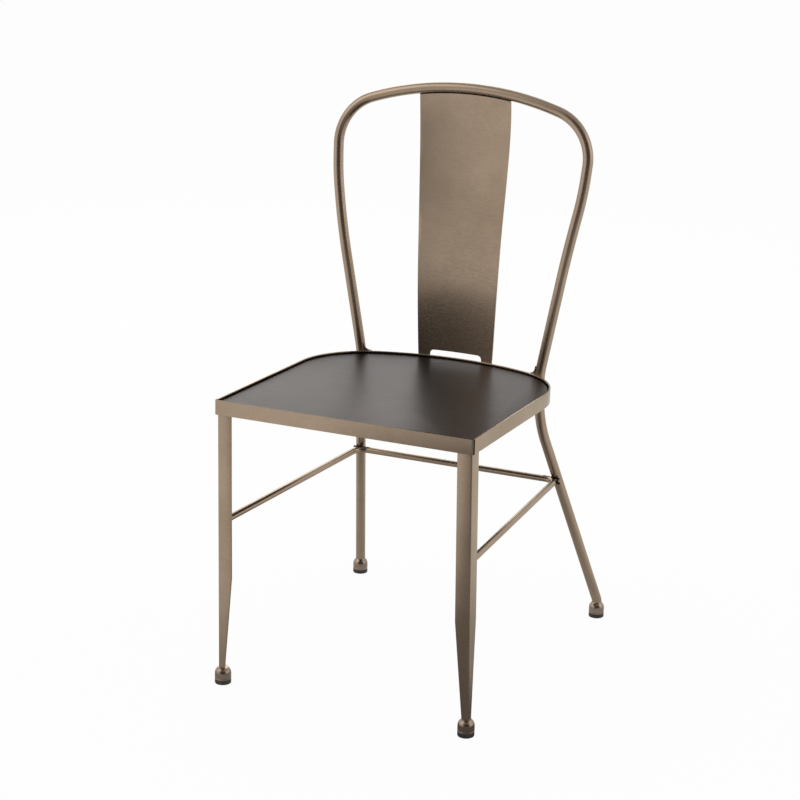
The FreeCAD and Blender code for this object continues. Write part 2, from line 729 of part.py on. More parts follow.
# Stretcher
def make_stretcher(toe, knee):
    """Round bar from one front leg back round both rear legs to the other front leg."""
    height = size("stretcher_height")
    rod = size("stretcher_diameter") / 2
    bend = size("stretcher_bend_radius")
    along = (knee - toe).normalize()
    tube = toe + along * ((height - toe.z) / along.z)
    facing = Vector(cosine("stretcher_bearing"), sine("stretcher_bearing"), 0)
    # The tube slants, so the bar touches it a little off its own level.
    reach = (tube_radius + rod + size("stretcher_contact")) / math.sqrt(
        1 - along.dot(facing)**2)
    centre = tube - facing * (reach + bend)

    corner = leg_frame(1).multVec(Vector(0, 0, height))
    front = Vector(corner.x - size("leg_wall") - rod - size("stretcher_front_gap"),
                   corner.y + size("leg_wall") + size("stretcher_front_gap"), height)
    # Tangent from the front end to the outside of the bend.
    to_centre = centre - front
    swing = math.asin(bend / to_centre.Length)
    run = Rotation(Vector(0, 0, 1), -math.degrees(swing)).multVec(to_centre).normalize()
    back_y = centre.y + bend
    back = front + run * ((back_y - front.y) / run.y)

    vertices = [front, back, Vector(-back.x, back.y, height),
                Vector(-front.x, front.y, height)]
    path = doc.addObject("Part::Feature", "stretcher_path")
    path.Shape = Part.Wire(bent_path(vertices, [bend, bend]))
    return round_sweep("stretcher_rod", path, "Sizes.stretcher_diameter / 2", front, run)


# Feet
def turned(name, corners):
    """A body of revolution about the Z axis."""
    body = new_body(name)
    sketch = new_sketch(body, f"{name}_profile", role="XZ_Plane")
    closed_outline(sketch, corners)
    turn = body.newObject("PartDesign::Revolution", f"{name}_turned")
    turn.Profile = sketch
    turn.ReferenceAxis = (sketch, ["V_Axis"])
    turn.Angle = 360
    sketch.Visibility = False
    doc.recompute()
    return body


def make_foot(where, spot):
    """Cup, glide and washer under one leg; the same three pieces at every corner."""
    bore = tube_radius + size("cup_bore_clearance")
    bore_formula = "Sizes.tube_diameter / 2 + Sizes.cup_bore_clearance"
    neck, neck_formula = bore + size("cup_lip"), bore_formula + " + Sizes.cup_lip"
    outer, outer_formula = size("cup_radius"), "Sizes.cup_radius"
    base, base_formula = size("glide_height"), "Sizes.glide_height"
    shoulder, shoulder_formula = size("cup_shoulder_height"), "Sizes.cup_shoulder_height"
    top, top_formula = size("cup_top"), "Sizes.cup_top"
    cup = turned(f"foot_cup_{where}", [
        (bore, bore_formula, base, base_formula),
        (outer, outer_formula, base, base_formula),
        (outer, outer_formula, shoulder, shoulder_formula),
        (neck, neck_formula, top, top_formula),
        (bore, bore_formula, top, top_formula),
    ])
    cup.Placement = Placement(spot, Rotation())
    glide = new_part("Part::Cylinder", f"foot_glide_{where}", Placement(spot, Rotation()),
                     Radius=outer_formula, Height=base_formula)
    on_glide = Placement(spot + Vector(0, 0, base), Rotation())
    washer = new_part("Part::Cylinder", f"foot_washer_{where}", on_glide,
                      Radius="Sizes.tube_diameter / 2", Height="Sizes.washer_thickness")
    return [cup, glide, washer]


def check_and_export(nodes):
    doc.recompute()
    for thing in doc.Objects:
        bad = [state for state in thing.State if state in ("Invalid", "Error")]
        if bad:
            raise ValueError(f"{thing.Name} is {bad}")
    for node in nodes:
        shape = node.Shape
        if shape.isNull() or not shape.isValid() or shape.Volume <= 0:
            raise ValueError(f"{node.Label} has no valid shape")
        shape.exportStep(f"parts/{node.Label}.step")
        print(f"{node.Label}: {len(shape.Solids)} solid, {shape.Volume / 1000:.2f} cm3")


nodes = [make_pan()]
rail_wall, seam = size("rail_wall"), size("rail_wall") + size("rail_seam")
nodes.append(make_rail("seat_front_rail", rail_wall, "Sizes.rail_wall",
                       2 * size("seat_depth"), "Sizes.seat_depth * 2"))
nodes.append(make_rail("seat_side_rail", -size("seat_depth"), "Sizes.seat_depth",
                       seam, "Sizes.rail_wall + Sizes.rail_seam"))
tube, envelope, toe, knee, lean = make_tube()
nodes.append(tube)
nodes.append(make_splat(envelope, lean))
nodes.append(make_stretcher(toe, knee))

inset = size("leg_foot_flange") / 2
for side, word in ((1, "right"), (-1, "left")):
    nodes.append(make_leg(f"front_leg_{word}", side))
    front = leg_frame(side).multVec(Vector(-side * inset, inset, size("leg_toe_height")))
    front_spot = Vector(front.x, front.y, 0)
    rear_spot = Vector(side * rear_foot_x, rear_foot_y, 0)
    nodes += make_foot(f"front_{word}", front_spot)
    nodes += make_foot(f"rear_{word}", rear_spot)
check_and_export(nodes)
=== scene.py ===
# %% [markdown]
# # A welded metal bistro chair
# The chair is one bent tube, a few pieces of sheet and flat bar, and a thin round rod, all welded
# together and lacquered in a brown metallic satin. The lesson builds each piece the way a
# workshop would: bars are bent, sheets are folded, feet are turned on a lathe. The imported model
# gives the frame that everything has to fit, so it is loaded first and its box is kept.

# %% Load the frame and keep its box
import math

import bmesh
import bpy
from mathutils import Matrix, Vector


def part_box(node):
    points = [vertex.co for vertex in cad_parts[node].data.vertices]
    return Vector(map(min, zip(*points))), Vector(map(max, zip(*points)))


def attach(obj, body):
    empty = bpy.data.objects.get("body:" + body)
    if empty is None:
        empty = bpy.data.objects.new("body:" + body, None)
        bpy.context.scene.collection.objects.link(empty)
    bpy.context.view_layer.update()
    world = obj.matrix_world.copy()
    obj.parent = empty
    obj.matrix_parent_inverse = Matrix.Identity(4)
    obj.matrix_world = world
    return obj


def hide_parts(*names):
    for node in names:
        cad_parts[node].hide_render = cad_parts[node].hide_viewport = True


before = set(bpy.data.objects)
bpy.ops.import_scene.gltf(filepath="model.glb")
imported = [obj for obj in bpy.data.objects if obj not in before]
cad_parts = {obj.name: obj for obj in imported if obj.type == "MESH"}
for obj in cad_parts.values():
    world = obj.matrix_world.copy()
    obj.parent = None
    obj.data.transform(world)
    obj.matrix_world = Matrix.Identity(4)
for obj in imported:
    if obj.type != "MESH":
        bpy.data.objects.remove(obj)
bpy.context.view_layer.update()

# %% [markdown]
# ## Working in millimetres
# A workshop drawing is in millimetres, and Blender's unit is the metre. Each mesh is therefore
# built in millimetres and made small once, at the end, by one scale. The same place turns the
# bmesh into an object, smooths its round faces, and hides the frame's nodes that the piece stands
# for.

# %% Turn a finished bmesh into a piece of the chair
MM = 0.001
SHARP_ANGLE = math.radians(32)


def make_piece(name, bm, finish, slot, *nodes):
    """A chair piece from a bmesh in millimetres; it stands for the named nodes of the frame."""
    bmesh.ops.scale(bm, vec=(MM, MM, MM), verts=bm.verts)
    mesh = bpy.data.meshes.new(name)
    bm.to_mesh(mesh)
    bm.free()
    mesh.materials.append(finish)
    mesh.shade_smooth()
    mesh.set_sharp_from_angle(angle=SHARP_ANGLE)
    piece = bpy.data.objects.new(name, mesh)
    bpy.context.scene.collection.objects.link(piece)
    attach(piece, "root")
    if nodes:
        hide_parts(*nodes)
    low, high = (Vector(c) for c in (piece.bound_box[0], piece.bound_box[6]))
    print(f"{name}: {len(mesh.polygons)} faces, {[round(c / MM, 1) for c in high - low]} mm")
    return piece


def all_of(bm):
    """All that a bmesh holds, for the operators that want it in one list."""
    return bm.verts[:] + bm.edges[:] + bm.faces[:]


# %% [markdown]
# ## The main measures
# A chair is set out from its seat: how high, wide and deep it is, and how far it slopes to the
# rear. The seat's rear is one wide bow between two round corners, and the bow's radius and the
# corner's give the middles of their arcs. The frame says where the seat's front edge and the feet
# stand. Later pieces take their places from these few values, so that all of them meet.

# %% Set out the seat and the feet
SEAT_HEIGHT = 450.0
SEAT_HALF = 204.0
SEAT_DEPTH = 414.0
SEAT_RAKE = math.radians(1.0)
REAR_BOW = 350.0
REAR_CORNER = 123.0
BAND_HEIGHT = 22.0
FEET = ("front_right", "front_left", "rear_right", "rear_left")


def node_box(node):
    """Lowest and highest corner of a node of the frame, in millimetres."""
    return [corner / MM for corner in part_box(node)]


FRONT_Y = node_box("seat_front_rail")[0].y + BAND_HEIGHT * math.sin(SEAT_RAKE)
REAR_CENTRE = Vector((0, SEAT_DEPTH - REAR_BOW, 0))
corner_across = SEAT_HALF - REAR_CORNER
corner_along = math.sqrt((REAR_BOW - REAR_CORNER)**2 - corner_across**2)
CORNER_CENTRE = REAR_CENTRE + Vector((corner_across, corner_along, 0))
FOOT_PLACES = {foot: sum(node_box(f"foot_glide_{foot}"), Vector()) / 2 for foot in FEET}
print("front edge at y =", round(FRONT_Y, 1))
for foot, spot in FOOT_PLACES.items():
    print(f"{foot} foot at", [round(c, 1) for c in spot.xy])

# %% [markdown]
# ## Edges
# No edge of a lacquered chair is a perfect knife edge. The lacquer draws a small radius round it,
# and that radius catches the light as a thin bright line. A bevel gives the radius. The corners
# of the new faces are marked in an attribute, and there the lacquer is painted lighter, part wear
# and part painted highlight.

# %% Round the sharp edges and mark them
EDGE_ANGLE = math.radians(30)
SHEET_EDGE = 0.4
BAR_EDGE = 0.45


def soften_edges(bm, width, steps=2):
    """Bevels every edge that turns by more than the edge angle."""
    sharp = [e for e in bm.edges if e.is_manifold and e.calc_face_angle() > EDGE_ANGLE]
    edge_wear_and_highlight_layer = bm.loops.layers.float.get("edge_wear_and_highlight") or bm.loops.layers.float.new("edge_wear_and_highlight")
    rounded = bmesh.ops.bevel(bm, geom=sharp, offset=width, offset_type="OFFSET",
                              affect="EDGES", segments=steps, profile=0.5, material=-1,
                              clamp_overlap=True)
    # The new faces get the lighter edge paint: part wear, part painted highlight.
    for face in rounded["faces"]:
        for corner in face.loops:
            corner[edge_wear_and_highlight_layer] = 1.0


print("edges are rounded by", SHEET_EDGE, "to", BAR_EDGE, "mm")

# %% [markdown]
# ## Gaps
# The opposite of a lighter edge is a gap between two pieces, where little light comes in. A gap
# of a millimetre is too fine to show by its shadow alone, so its faces are marked in a second
# attribute, and shade is painted there: the lacquer turns nearly black. The same painted shade
# goes on a few other places that lie in shadow.

# %% Mark the faces where shade is painted
LEAST_FACING = 0.7


def paint_shade(bm, faces):
    """Marks faces on which shade is painted: gaps and other places in shadow."""
    shade_layer = bm.loops.layers.float.get("painted_shade") or bm.loops.layers.float.new("painted_shade")
    for face in faces:
        for corner in face.loops:
            corner[shade_layer] = 1.0


def looks_towards(face, *directions):
    """True where the face looks nearly along one of the directions."""
    return any(face.normal.dot(Vector(way)) > LEAST_FACING for way in directions)


print("a face looks along a direction up to",
      round(math.degrees(math.acos(LEAST_FACING))), "degrees off it")

# %% [markdown]
# ## Shared surface effects
# Two effects return in several finishes. Sprayed metallic lacquer settles unevenly, so its tone
# and its gloss drift slowly over a hand's width, with a fine grain inside the drift. And the
# edges
# are painted lighter: partly wear where hands, shoes and other chairs pass, partly a painted
# highlight. Each effect is a node group, built once and placed in every finish with its own
# values. The groups only put out masks and heights; the shader stays in the material.

# %% Node helpers
def put_node(tree, kind, **settings):
    """Adds a node of that kind and gives it its settings."""
    node = tree.nodes.new(kind)
    for key, value in settings.items():
        setattr(node, key, value)
    return node


def set_inputs(node, **values):
    """Sets inputs by name, with an underscore for each space, and returns the node."""
    for key, value in values.items():
        node.inputs[key.replace("_", " ")].default_value = value
    return node


def map_range(tree, source, low, high, to_low, to_high):
    """Stretches one range of a value over another."""
    node = put_node(tree, "ShaderNodeMapRange", interpolation_type="SMOOTHSTEP")
    for key, value in zip(("From Min", "From Max", "To Min", "To Max"),
                          (low, high, to_low, to_high)):
        node.inputs[key].default_value = value
    tree.links.new(source, node.inputs["Value"])
    return node.outputs["Result"]


# %% The drift of sprayed lacquer
def make_spray_drift():
    """Tone from 0 to 1, a fine height, and a streak mask, all on object coordinates."""
    group = bpy.data.node_groups.new("spray drift", "ShaderNodeTree")
    for name, value in (("Cloud Scale", 9.0), ("Grain Scale", 900.0)):
        socket = group.interface.new_socket(name, in_out="INPUT", socket_type="NodeSocketFloat")
        socket.default_value = value
    stretch = group.interface.new_socket("Stretch", in_out="INPUT",
                                         socket_type="NodeSocketVector")
    stretch.default_value = (1.0, 1.0, 1.0)
    for name in ("Tone", "Streak", "Height"):
        group.interface.new_socket(name, in_out="OUTPUT", socket_type="NodeSocketFloat")
    inside = put_node(group, "NodeGroupInput")
    outside = put_node(group, "NodeGroupOutput")
    place = put_node(group, "ShaderNodeTexCoord")

    cloud = set_inputs(put_node(group, "ShaderNodeTexNoise"), Detail=5.0, Roughness=0.62)
    group.links.new(place.outputs["Object"], cloud.inputs["Vector"])
    group.links.new(inside.outputs["Cloud Scale"], cloud.inputs["Scale"])
    group.links.new(map_range(group, cloud.outputs["Fac"], 0.3, 0.7, 0.0, 1.0),
                    outside.inputs["Tone"])

    drawn = put_node(group, "ShaderNodeMapping")
    streak = set_inputs(put_node(group, "ShaderNodeTexNoise"), Scale=260.0, Detail=4.0)
    group.links.new(place.outputs["Object"], drawn.inputs["Vector"])
    group.links.new(inside.outputs["Stretch"], drawn.inputs["Scale"])
    group.links.new(drawn.outputs["Vector"], streak.inputs["Vector"])
    group.links.new(map_range(group, streak.outputs["Fac"], 0.35, 0.65, 0.0, 1.0),
                    outside.inputs["Streak"])

    grain = set_inputs(put_node(group, "ShaderNodeTexNoise"), Detail=2.0, Roughness=0.5)
    group.links.new(place.outputs["Object"], grain.inputs["Vector"])
    group.links.new(inside.outputs["Grain Scale"], grain.inputs["Scale"])
    group.links.new(grain.outputs["Fac"], outside.inputs["Height"])
    return group


# %% The lighter edges: wear and painted highlight
def make_edge_wear_and_highlight():
    """A mask that is 1 on edges painted lighter, for abrasion and as a painted highlight, broken
    up so that no line is even.
    """
    group = bpy.data.node_groups.new("edge wear and highlight", "ShaderNodeTree")
    socket = group.interface.new_socket("Strength", in_out="INPUT",
                                        socket_type="NodeSocketFloat")
    socket.default_value = 0.5
    group.interface.new_socket("Mask", in_out="OUTPUT", socket_type="NodeSocketFloat")
    inside = put_node(group, "NodeGroupInput")
    outside = put_node(group, "NodeGroupOutput")
    place = put_node(group, "ShaderNodeTexCoord")
    marks = put_node(group, "ShaderNodeAttribute", attribute_name="edge_wear_and_highlight")
    patches = set_inputs(put_node(group, "ShaderNodeTexNoise"), Scale=55.0, Detail=4.0)
    group.links.new(place.outputs["Object"], patches.inputs["Vector"])
    broken = map_range(group, patches.outputs["Fac"], 0.35, 0.7, 0.25, 1.0)
    edge_wear_and_highlight = put_node(group, "ShaderNodeMath", operation="MULTIPLY")
    group.links.new(marks.outputs["Fac"], edge_wear_and_highlight.inputs[0])
    group.links.new(broken, edge_wear_and_highlight.inputs[1])
    amount = put_node(group, "ShaderNodeMath", operation="MULTIPLY")
    group.links.new(edge_wear_and_highlight.outputs[0], amount.inputs[0])
    group.links.new(inside.outputs["Strength"], amount.inputs[1])
    group.links.new(amount.outputs[0], outside.inputs["Mask"])
    return group


spray_drift = make_spray_drift()
edge_wear_and_highlight_group = make_edge_wear_and_highlight()
print("shared effects:", spray_drift.name, "and", edge_wear_and_highlight_group.name)

# %% [markdown]
# ## The finishes
# The frame's lacquer is a brown, slightly green metallic with a satin gloss. The seat has the
# same lacquer in a darker, greyer mix. A metallic surface takes its colour from what it mirrors,
# so the base colour is the tone seen in the brightest reflection, and the roughness spreads that
# reflection to a satin glow. Seen at a low angle every lacquer turns pale; the glance tone says
# how pale. Edges are painted lighter, part wear and part painted highlight, and where shade is
# painted the tone is nearly black. The glides are matt black plastic.

# %% Mix a finish
# The nearly black tone of painted shade.
PAINTED_SHADE_TONE = (34, 31, 28)


def to_linear(tone):
    """A display colour from 0 to 255 as the linear colour that a shader wants."""
    parts = [c / 255 for c in tone]
    return [c / 12.92 if c <= 0.04045 else ((c + 0.055) / 1.055) ** 2.4 for c in parts] + [1.0]


def mix_colours(tree, factor, first, second):
    """The first colour where the factor is 0, and the second where it is 1."""
    node = put_node(tree, "ShaderNodeMix", data_type="RGBA")
    for socket, value in ((node.inputs["A"], first), (node.inputs["B"], second)):
        if isinstance(value, bpy.types.NodeSocket):
            tree.links.new(value, socket)
        else:
            socket.default_value = value
    tree.links.new(factor, node.inputs["Factor"])
    return node.outputs["Result"]


def place_group(tree, group, **values):
    """Adds a shared effect to a finish, with the finish's own values."""
    node = put_node(tree, "ShaderNodeGroup", node_tree=group)
    return set_inputs(node, **values)


def make_finish(name, deep, light, edge_wear_and_highlight, metallic, gloss, cloud=9.0, grain=900.0,
                relief=0.000002, edge_lightening=0.5, stretch=(0.4, 1.0, 1.0), glance=(255, 255, 255)):
    """A finish between two tones.

    Gloss is its lowest and highest roughness, relief the depth of its grain in metres, and
    glance the tone that it takes where it is seen at a low angle.
    """
    finish = bpy.data.materials.new(name)
    finish.use_nodes = True
    tree = finish.node_tree
    shader = tree.nodes["Principled BSDF"]
    shader.inputs["Metallic"].default_value = metallic
    shader.inputs["Specular Tint"].default_value = to_linear(glance)
    drift = place_group(tree, spray_drift, Cloud_Scale=cloud, Grain_Scale=grain,
                        Stretch=stretch)
    edges = place_group(tree, edge_wear_and_highlight_group, Strength=edge_lightening)
    body_tone = mix_colours(tree, drift.outputs["Tone"], to_linear(deep), to_linear(light))
    # Edges are painted lighter, part wear and part painted highlight.
    edge_wear_and_highlight_tone = mix_colours(tree, edges.outputs["Mask"], body_tone, to_linear(edge_wear_and_highlight))
    # Painted shade: the marked faces take the nearly black tone.
    gap = put_node(tree, "ShaderNodeAttribute", attribute_name="painted_shade")
    tone = mix_colours(tree, gap.outputs["Fac"], edge_wear_and_highlight_tone, to_linear(PAINTED_SHADE_TONE))
    tree.links.new(tone, shader.inputs["Base Color"])
    tree.links.new(map_range(tree, drift.outputs["Streak"], 0.0, 1.0, *gloss),
                   shader.inputs["Roughness"])
    bump = set_inputs(put_node(tree, "ShaderNodeBump"), Strength=1.0, Distance=relief)
    tree.links.new(drift.outputs["Height"], bump.inputs["Height"])
    tree.links.new(bump.outputs["Normal"], shader.inputs["Normal"])
    return finish


# %% The five finishes of the chair
frame_lacquer = make_finish("brown metallic lacquer", (157, 137, 117), (170, 149, 129),
                            (188, 170, 150), metallic=0.9, gloss=(0.24, 0.28),
                            relief=0.0000006, glance=(234, 237, 231))
seat_lacquer = make_finish("dark metallic lacquer", (54, 51, 49), (61, 58, 56),
                           (130, 122, 114), metallic=1.0, gloss=(0.37, 0.39), cloud=6.0,
                           relief=0.000001, stretch=(0.1, 1.0, 1.0),
                           glance=(241, 238, 237))
cup_lacquer = make_finish("lacquer on the foot cups", (145, 127, 112), (166, 147, 131),
                          (170, 156, 142), metallic=0.9, gloss=(0.16, 0.24), cloud=40.0)
glide_plastic = make_finish("black plastic", (42, 41, 40), (56, 55, 53),
                            (70, 68, 66), metallic=0.0, gloss=(0.45, 0.6), cloud=60.0)
bare_steel = make_finish("bare steel", (150, 150, 152), (176, 176, 178),
                         (190, 190, 190), metallic=1.0, gloss=(0.3, 0.4), cloud=80.0)
FINISHES = (frame_lacquer, seat_lacquer, cup_lacquer, glide_plastic, bare_steel)
print("finishes:", [finish.name for finish in FINISHES])

# %% [markdown]
# ## Bending a bar
# A tube bender works down a list: push the tube through so far, then turn it so much round a
# former. The helper does the same. It starts with a circle across the first run, extrudes it
# along each straight and spins it round each bend. A curve with a round bevel would be quicker,
# but a spin keeps every ring square to the bar and gives each bend its own number of steps.

# %% Push and turn a ring of edges along a list of bends
BEND_ERROR = 0.03  # how far a chord may leave its arc, in mm
MERGE_GAP = 0.01


def ring_parts(geometry):
    """The vertices and edges among what an operator returned."""
    return [g for g in geometry if isinstance(g, (bmesh.types.BMVert, bmesh.types.BMEdge))]


def push(bm, ring, travel):
    """Extrudes the ring along a straight run and returns the ring at its end."""
    edges = [g for g in ring if isinstance(g, bmesh.types.BMEdge)]
    grown = ring_parts(bmesh.ops.extrude_edge_only(bm, edges=edges)["geom"])
    moved = [g for g in grown if isinstance(g, bmesh.types.BMVert)]
    bmesh.ops.translate(bm, vec=travel, verts=moved)
    return grown


def turn_steps(angle, radius):
    """Enough steps that no chord leaves its arc by more than the allowed error."""
    return max(3, math.ceil(angle / (2 * math.acos(1 - BEND_ERROR / radius))))


def bend_bar(bm, stations, thickness, sides=32):
    """A round bar through stations of (corner point, bend radius); the ends have radius 0."""
    points = [Vector(point) for point, _ in stations]
    facing = (points[1] - points[0]).to_track_quat("Z", "Y").to_matrix().to_4x4()
    start = bmesh.ops.create_circle(bm, segments=sides, radius=thickness / 2,
                                    matrix=Matrix.Translation(points[0]) @ facing)["verts"]
    ring = start + list({edge for vert in start for edge in vert.link_edges})
    here = points[0]
    for before, corner, after, (_, radius) in zip(points, points[1:], points[2:], stations[1:]):
        ahead = (corner - before).normalized()
        onward = (after - corner).normalized()
        angle = ahead.angle(onward)
        axis = ahead.cross(onward).normalized()
        reach = radius * math.tan(angle / 2)
        entry = corner - ahead * reach
        ring = push(bm, ring, entry - here)
        spun = bmesh.ops.spin(bm, geom=ring, cent=entry + axis.cross(ahead) * radius,
                              axis=axis, angle=angle, steps=turn_steps(angle, radius))
        ring = ring_parts(spun["geom_last"])
        here = corner + onward * reach
    push(bm, ring, points[-1] - here)


def mirror_across(bm, geometry):
    """Adds the mirror image of some geometry across the middle of the chair."""
    bmesh.ops.mirror(bm, geom=geometry, matrix=Matrix.Identity(4), merge_dist=MERGE_GAP,
                     axis="X")


def mirror_half(bm):
    """Adds the other half across the middle of the chair and closes the shell."""
    mirror_across(bm, all_of(bm))
    bmesh.ops.remove_doubles(bm, verts=bm.verts, dist=MERGE_GAP)
    bmesh.ops.holes_fill(bm, edges=[e for e in bm.edges if e.is_boundary])
    bmesh.ops.recalc_face_normals(bm, faces=bm.faces)


print("a bend of radius 100 mm takes", turn_steps(math.pi / 2, 100), "steps for a right angle")

# %% [markdown]
# ## Rear legs and back hoop
# On the real chair one 16 mm tube runs from a rear foot up the leg, past the seat, round the
# crown and down to the other foot. The hoop above the seat lies in a plane that leans back, so it
# is set out on that plane: each point by its place across and by its drop below the crown. The
# crown is one wide arc, a tight arc turns it down on each side, and the sides come in again
# towards the seat.

# %% Set out the hoop on its leaning plane
TUBE_DIAMETER = 16.0
TUBE_TOUCH = 0.1  # between the tube and the seat band
TUBE_BEARING = math.radians(56.7)  # where the tube stands on the round of the seat's corner
CROWN_RISE = 419.5
CROWN_RADIUS = 500.0
HOOP_OUT = 4.2  # how much further out than the seat the hoop's corners reach
HOOP_CORNER = 76.5
HOOP_SIDE = math.radians(3.1)
HOOP_LEAN = math.radians(8.65)
SHOULDER_RUN = 43.3  # the straight side below the tight arc
LEAN_RUN = 87.5  # from there down to where the lean starts

tube_reach = REAR_CORNER + TUBE_DIAMETER / 2 + TUBE_TOUCH
TUBE_X = CORNER_CENTRE.x + tube_reach * math.cos(TUBE_BEARING)
TUBE_Y = FRONT_Y + CORNER_CENTRE.y + tube_reach * math.sin(TUBE_BEARING)
arc_across = SEAT_HALF + HOOP_OUT - HOOP_CORNER
crown_turn = math.asin(arc_across / (CROWN_RADIUS - HOOP_CORNER))
arc_drop = CROWN_RADIUS - (CROWN_RADIUS - HOOP_CORNER) * math.cos(crown_turn)
side_across = arc_across + HOOP_CORNER * math.cos(HOOP_SIDE)
side_drop = arc_drop + HOOP_CORNER * math.sin(HOOP_SIDE)
shoulder_drop = side_drop + SHOULDER_RUN * math.cos(HOOP_SIDE)
lean_drop = shoulder_drop + LEAN_RUN


def hoop_point(across, drop):
    """A point of the leaning plane, from its place across and its drop below the crown."""
    return Vector((across, TUBE_Y + (lean_drop - drop) * math.sin(HOOP_LEAN),
                   SEAT_HEIGHT + CROWN_RISE - drop * math.cos(HOOP_LEAN)))


half_turn = (math.pi / 2 + HOOP_SIDE - crown_turn) / 2
tip = HOOP_CORNER / math.cos(half_turn)
tip_turn = crown_turn + half_turn
crown = hoop_point(CROWN_RADIUS * math.tan(crown_turn / 2), 0)
upper_corner = hoop_point(arc_across + tip * math.sin(tip_turn),
                          arc_drop - tip * math.cos(tip_turn))
shoulder = hoop_point(side_across - SHOULDER_RUN * math.sin(HOOP_SIDE), shoulder_drop)
print("the crown's middle is at", [round(c, 1) for c in hoop_point(0, 0)])

# %% [markdown]
# The rear leg below the hoop has only gentle bends: a waist beside the seat, a knee under it, and
# a toe that turns upright into the foot cup. Each row of the bending list is a corner of the run
# and the radius that rounds it. Only the right half is listed, and a mirror makes the other.

# %% Bend the hoop tube
LEG_END = node_box("rear_leg_back_tube")[0].z  # on the washer in the foot cup
TOE_HEIGHT = 28.5
KNEE_DROP, KNEE_OUT, KNEE_BACK = 84.0, 1.0, 3.2
WAIST_DROP = 8.0

foot_x, foot_y = FOOT_PLACES["rear_right"].xy
waist = Vector((TUBE_X, TUBE_Y, SEAT_HEIGHT - WAIST_DROP))
lean = hoop_point(0, lean_drop)
lean.x = waist.x + (shoulder.x - waist.x) * (lean.z - waist.z) / (shoulder.z - waist.z)
TUBE_BENDS = [
    ((foot_x, foot_y, LEG_END), 0),  # open end in the foot cup
    ((foot_x, foot_y, TOE_HEIGHT), 18),  # toe
    ((TUBE_X + KNEE_OUT, TUBE_Y + KNEE_BACK, SEAT_HEIGHT - KNEE_DROP), 200),  # knee
    (waist, 150),  # beside the seat
    (lean, 600),  # where the hoop starts to lean
    (shoulder, 500),  # side of the hoop
    (upper_corner, HOOP_CORNER),
    (crown, CROWN_RADIUS),
    (hoop_point(0, 0), 0),  # middle of the crown
]
tube = bmesh.new()
bend_bar(tube, TUBE_BENDS, TUBE_DIAMETER)
mirror_half(tube)
soften_edges(tube, SHEET_EDGE)
make_piece("bent_hoop_tube", tube, frame_lacquer, "frame_lacquer", "rear_leg_back_tube")

# %% [markdown]
# ## Stretcher
# A 10 mm rod ties the four legs together. It leaves a front leg, comes in a little on its way to
# the inside of the rear leg, turns across the back and comes forward again. It is bent in the
# same way as the tube, and the frame's box for it gives the places of its runs.

# %% Bend the stretcher rod
ROD_RADIUS = 5.0
ROD_BEND = 20.0
ROD_INWARD = 20.8

rod_low, rod_high = node_box("stretcher_rod")
ROD_LEVEL = (rod_low.z + rod_high.z) / 2
slant = math.asin(ROD_INWARD / (rod_high.y - rod_low.y))
ROD_FRONT = Vector((rod_high.x - ROD_RADIUS * math.cos(slant),
                    rod_low.y + ROD_RADIUS * math.sin(slant), ROD_LEVEL))
ROD_REAR = Vector((ROD_FRONT.x - ROD_INWARD, rod_high.y - ROD_RADIUS, ROD_LEVEL))
ROD_BENDS = [(ROD_FRONT, 0), (ROD_REAR, ROD_BEND), ((0, ROD_REAR.y, ROD_LEVEL), 0)]
rod = bmesh.new()
bend_bar(rod, ROD_BENDS, 2 * ROD_RADIUS, sides=24)
mirror_half(rod)
soften_edges(rod, SHEET_EDGE)
make_piece("stretcher", rod, frame_lacquer, "frame_lacquer", "stretcher_rod")

# %% [markdown]
# ## The seat's outline
# Seat plate and seat band share one D shape: a straight front, straight sides, and a rear that
# is bowed between two round corners. It is drawn like a draughtsman would, one vertex pulled
# along the straights and spun round the arcs, and mirrored. An inset moves the whole outline in.

# %% Draw the seat outline
FRONT_STEPS, CORNER_STEPS, REAR_STEPS = 8, 28, 16


def draw_line(bm, vert, x, y):
    """Pulls the vertex to a point in the plane and returns the new end."""
    grown = bmesh.ops.extrude_vert_indiv(bm, verts=[vert])["verts"][0]
    grown.co = (x, y, vert.co.z)
    return grown


def draw_arc(bm, vert, centre, angle, steps):
    """Spins the vertex round a centre in the plane and returns the new end."""
    spun = bmesh.ops.spin(bm, geom=[vert], cent=centre, axis=(0, 0, 1), angle=angle, steps=steps)
    return next(g for g in spun["geom_last"] if isinstance(g, bmesh.types.BMVert))


def draw_outline(bm, inset, front_radius, level=0.0):
    """The D-shaped outline as a closed ring of edges; returns those edges."""
    before = set(bm.edges)
    side = SEAT_HALF - inset
    joint = (CORNER_CENTRE - REAR_CENTRE).normalized()
    rise = math.atan2(joint.y, joint.x)
    lift = Vector((0, 0, level))
    end = bm.verts.new((0, inset, level))
    end = draw_line(bm, end, side - front_radius, inset)
    end = draw_arc(bm, end, Vector((side - front_radius, inset + front_radius, level)),
                   math.pi / 2, FRONT_STEPS)
    end = draw_line(bm, end, side, CORNER_CENTRE.y)
    end = draw_arc(bm, end, CORNER_CENTRE + lift, rise, CORNER_STEPS)
    draw_arc(bm, end, REAR_CENTRE + lift, math.pi / 2 - rise, REAR_STEPS)
    drawn = [e for e in bm.edges if e not in before]
    verts = list({v for e in drawn for v in e.verts})
    mirror_across(bm, verts + drawn)
    return [e for e in bm.edges if e not in before]


# %% Place the seat on the frame
seat_place = (Matrix.Translation((0, FRONT_Y, SEAT_HEIGHT))
              @ Matrix.Rotation(-SEAT_RAKE, 4, "X"))


def set_on_seat(bm):
    """Moves a piece drawn on the seat's own level to its raked place."""
    bmesh.ops.transform(bm, matrix=seat_place, verts=bm.verts)


print("the seat drops", round(SEAT_DEPTH * math.tan(SEAT_RAKE), 1), "mm from front to rear")

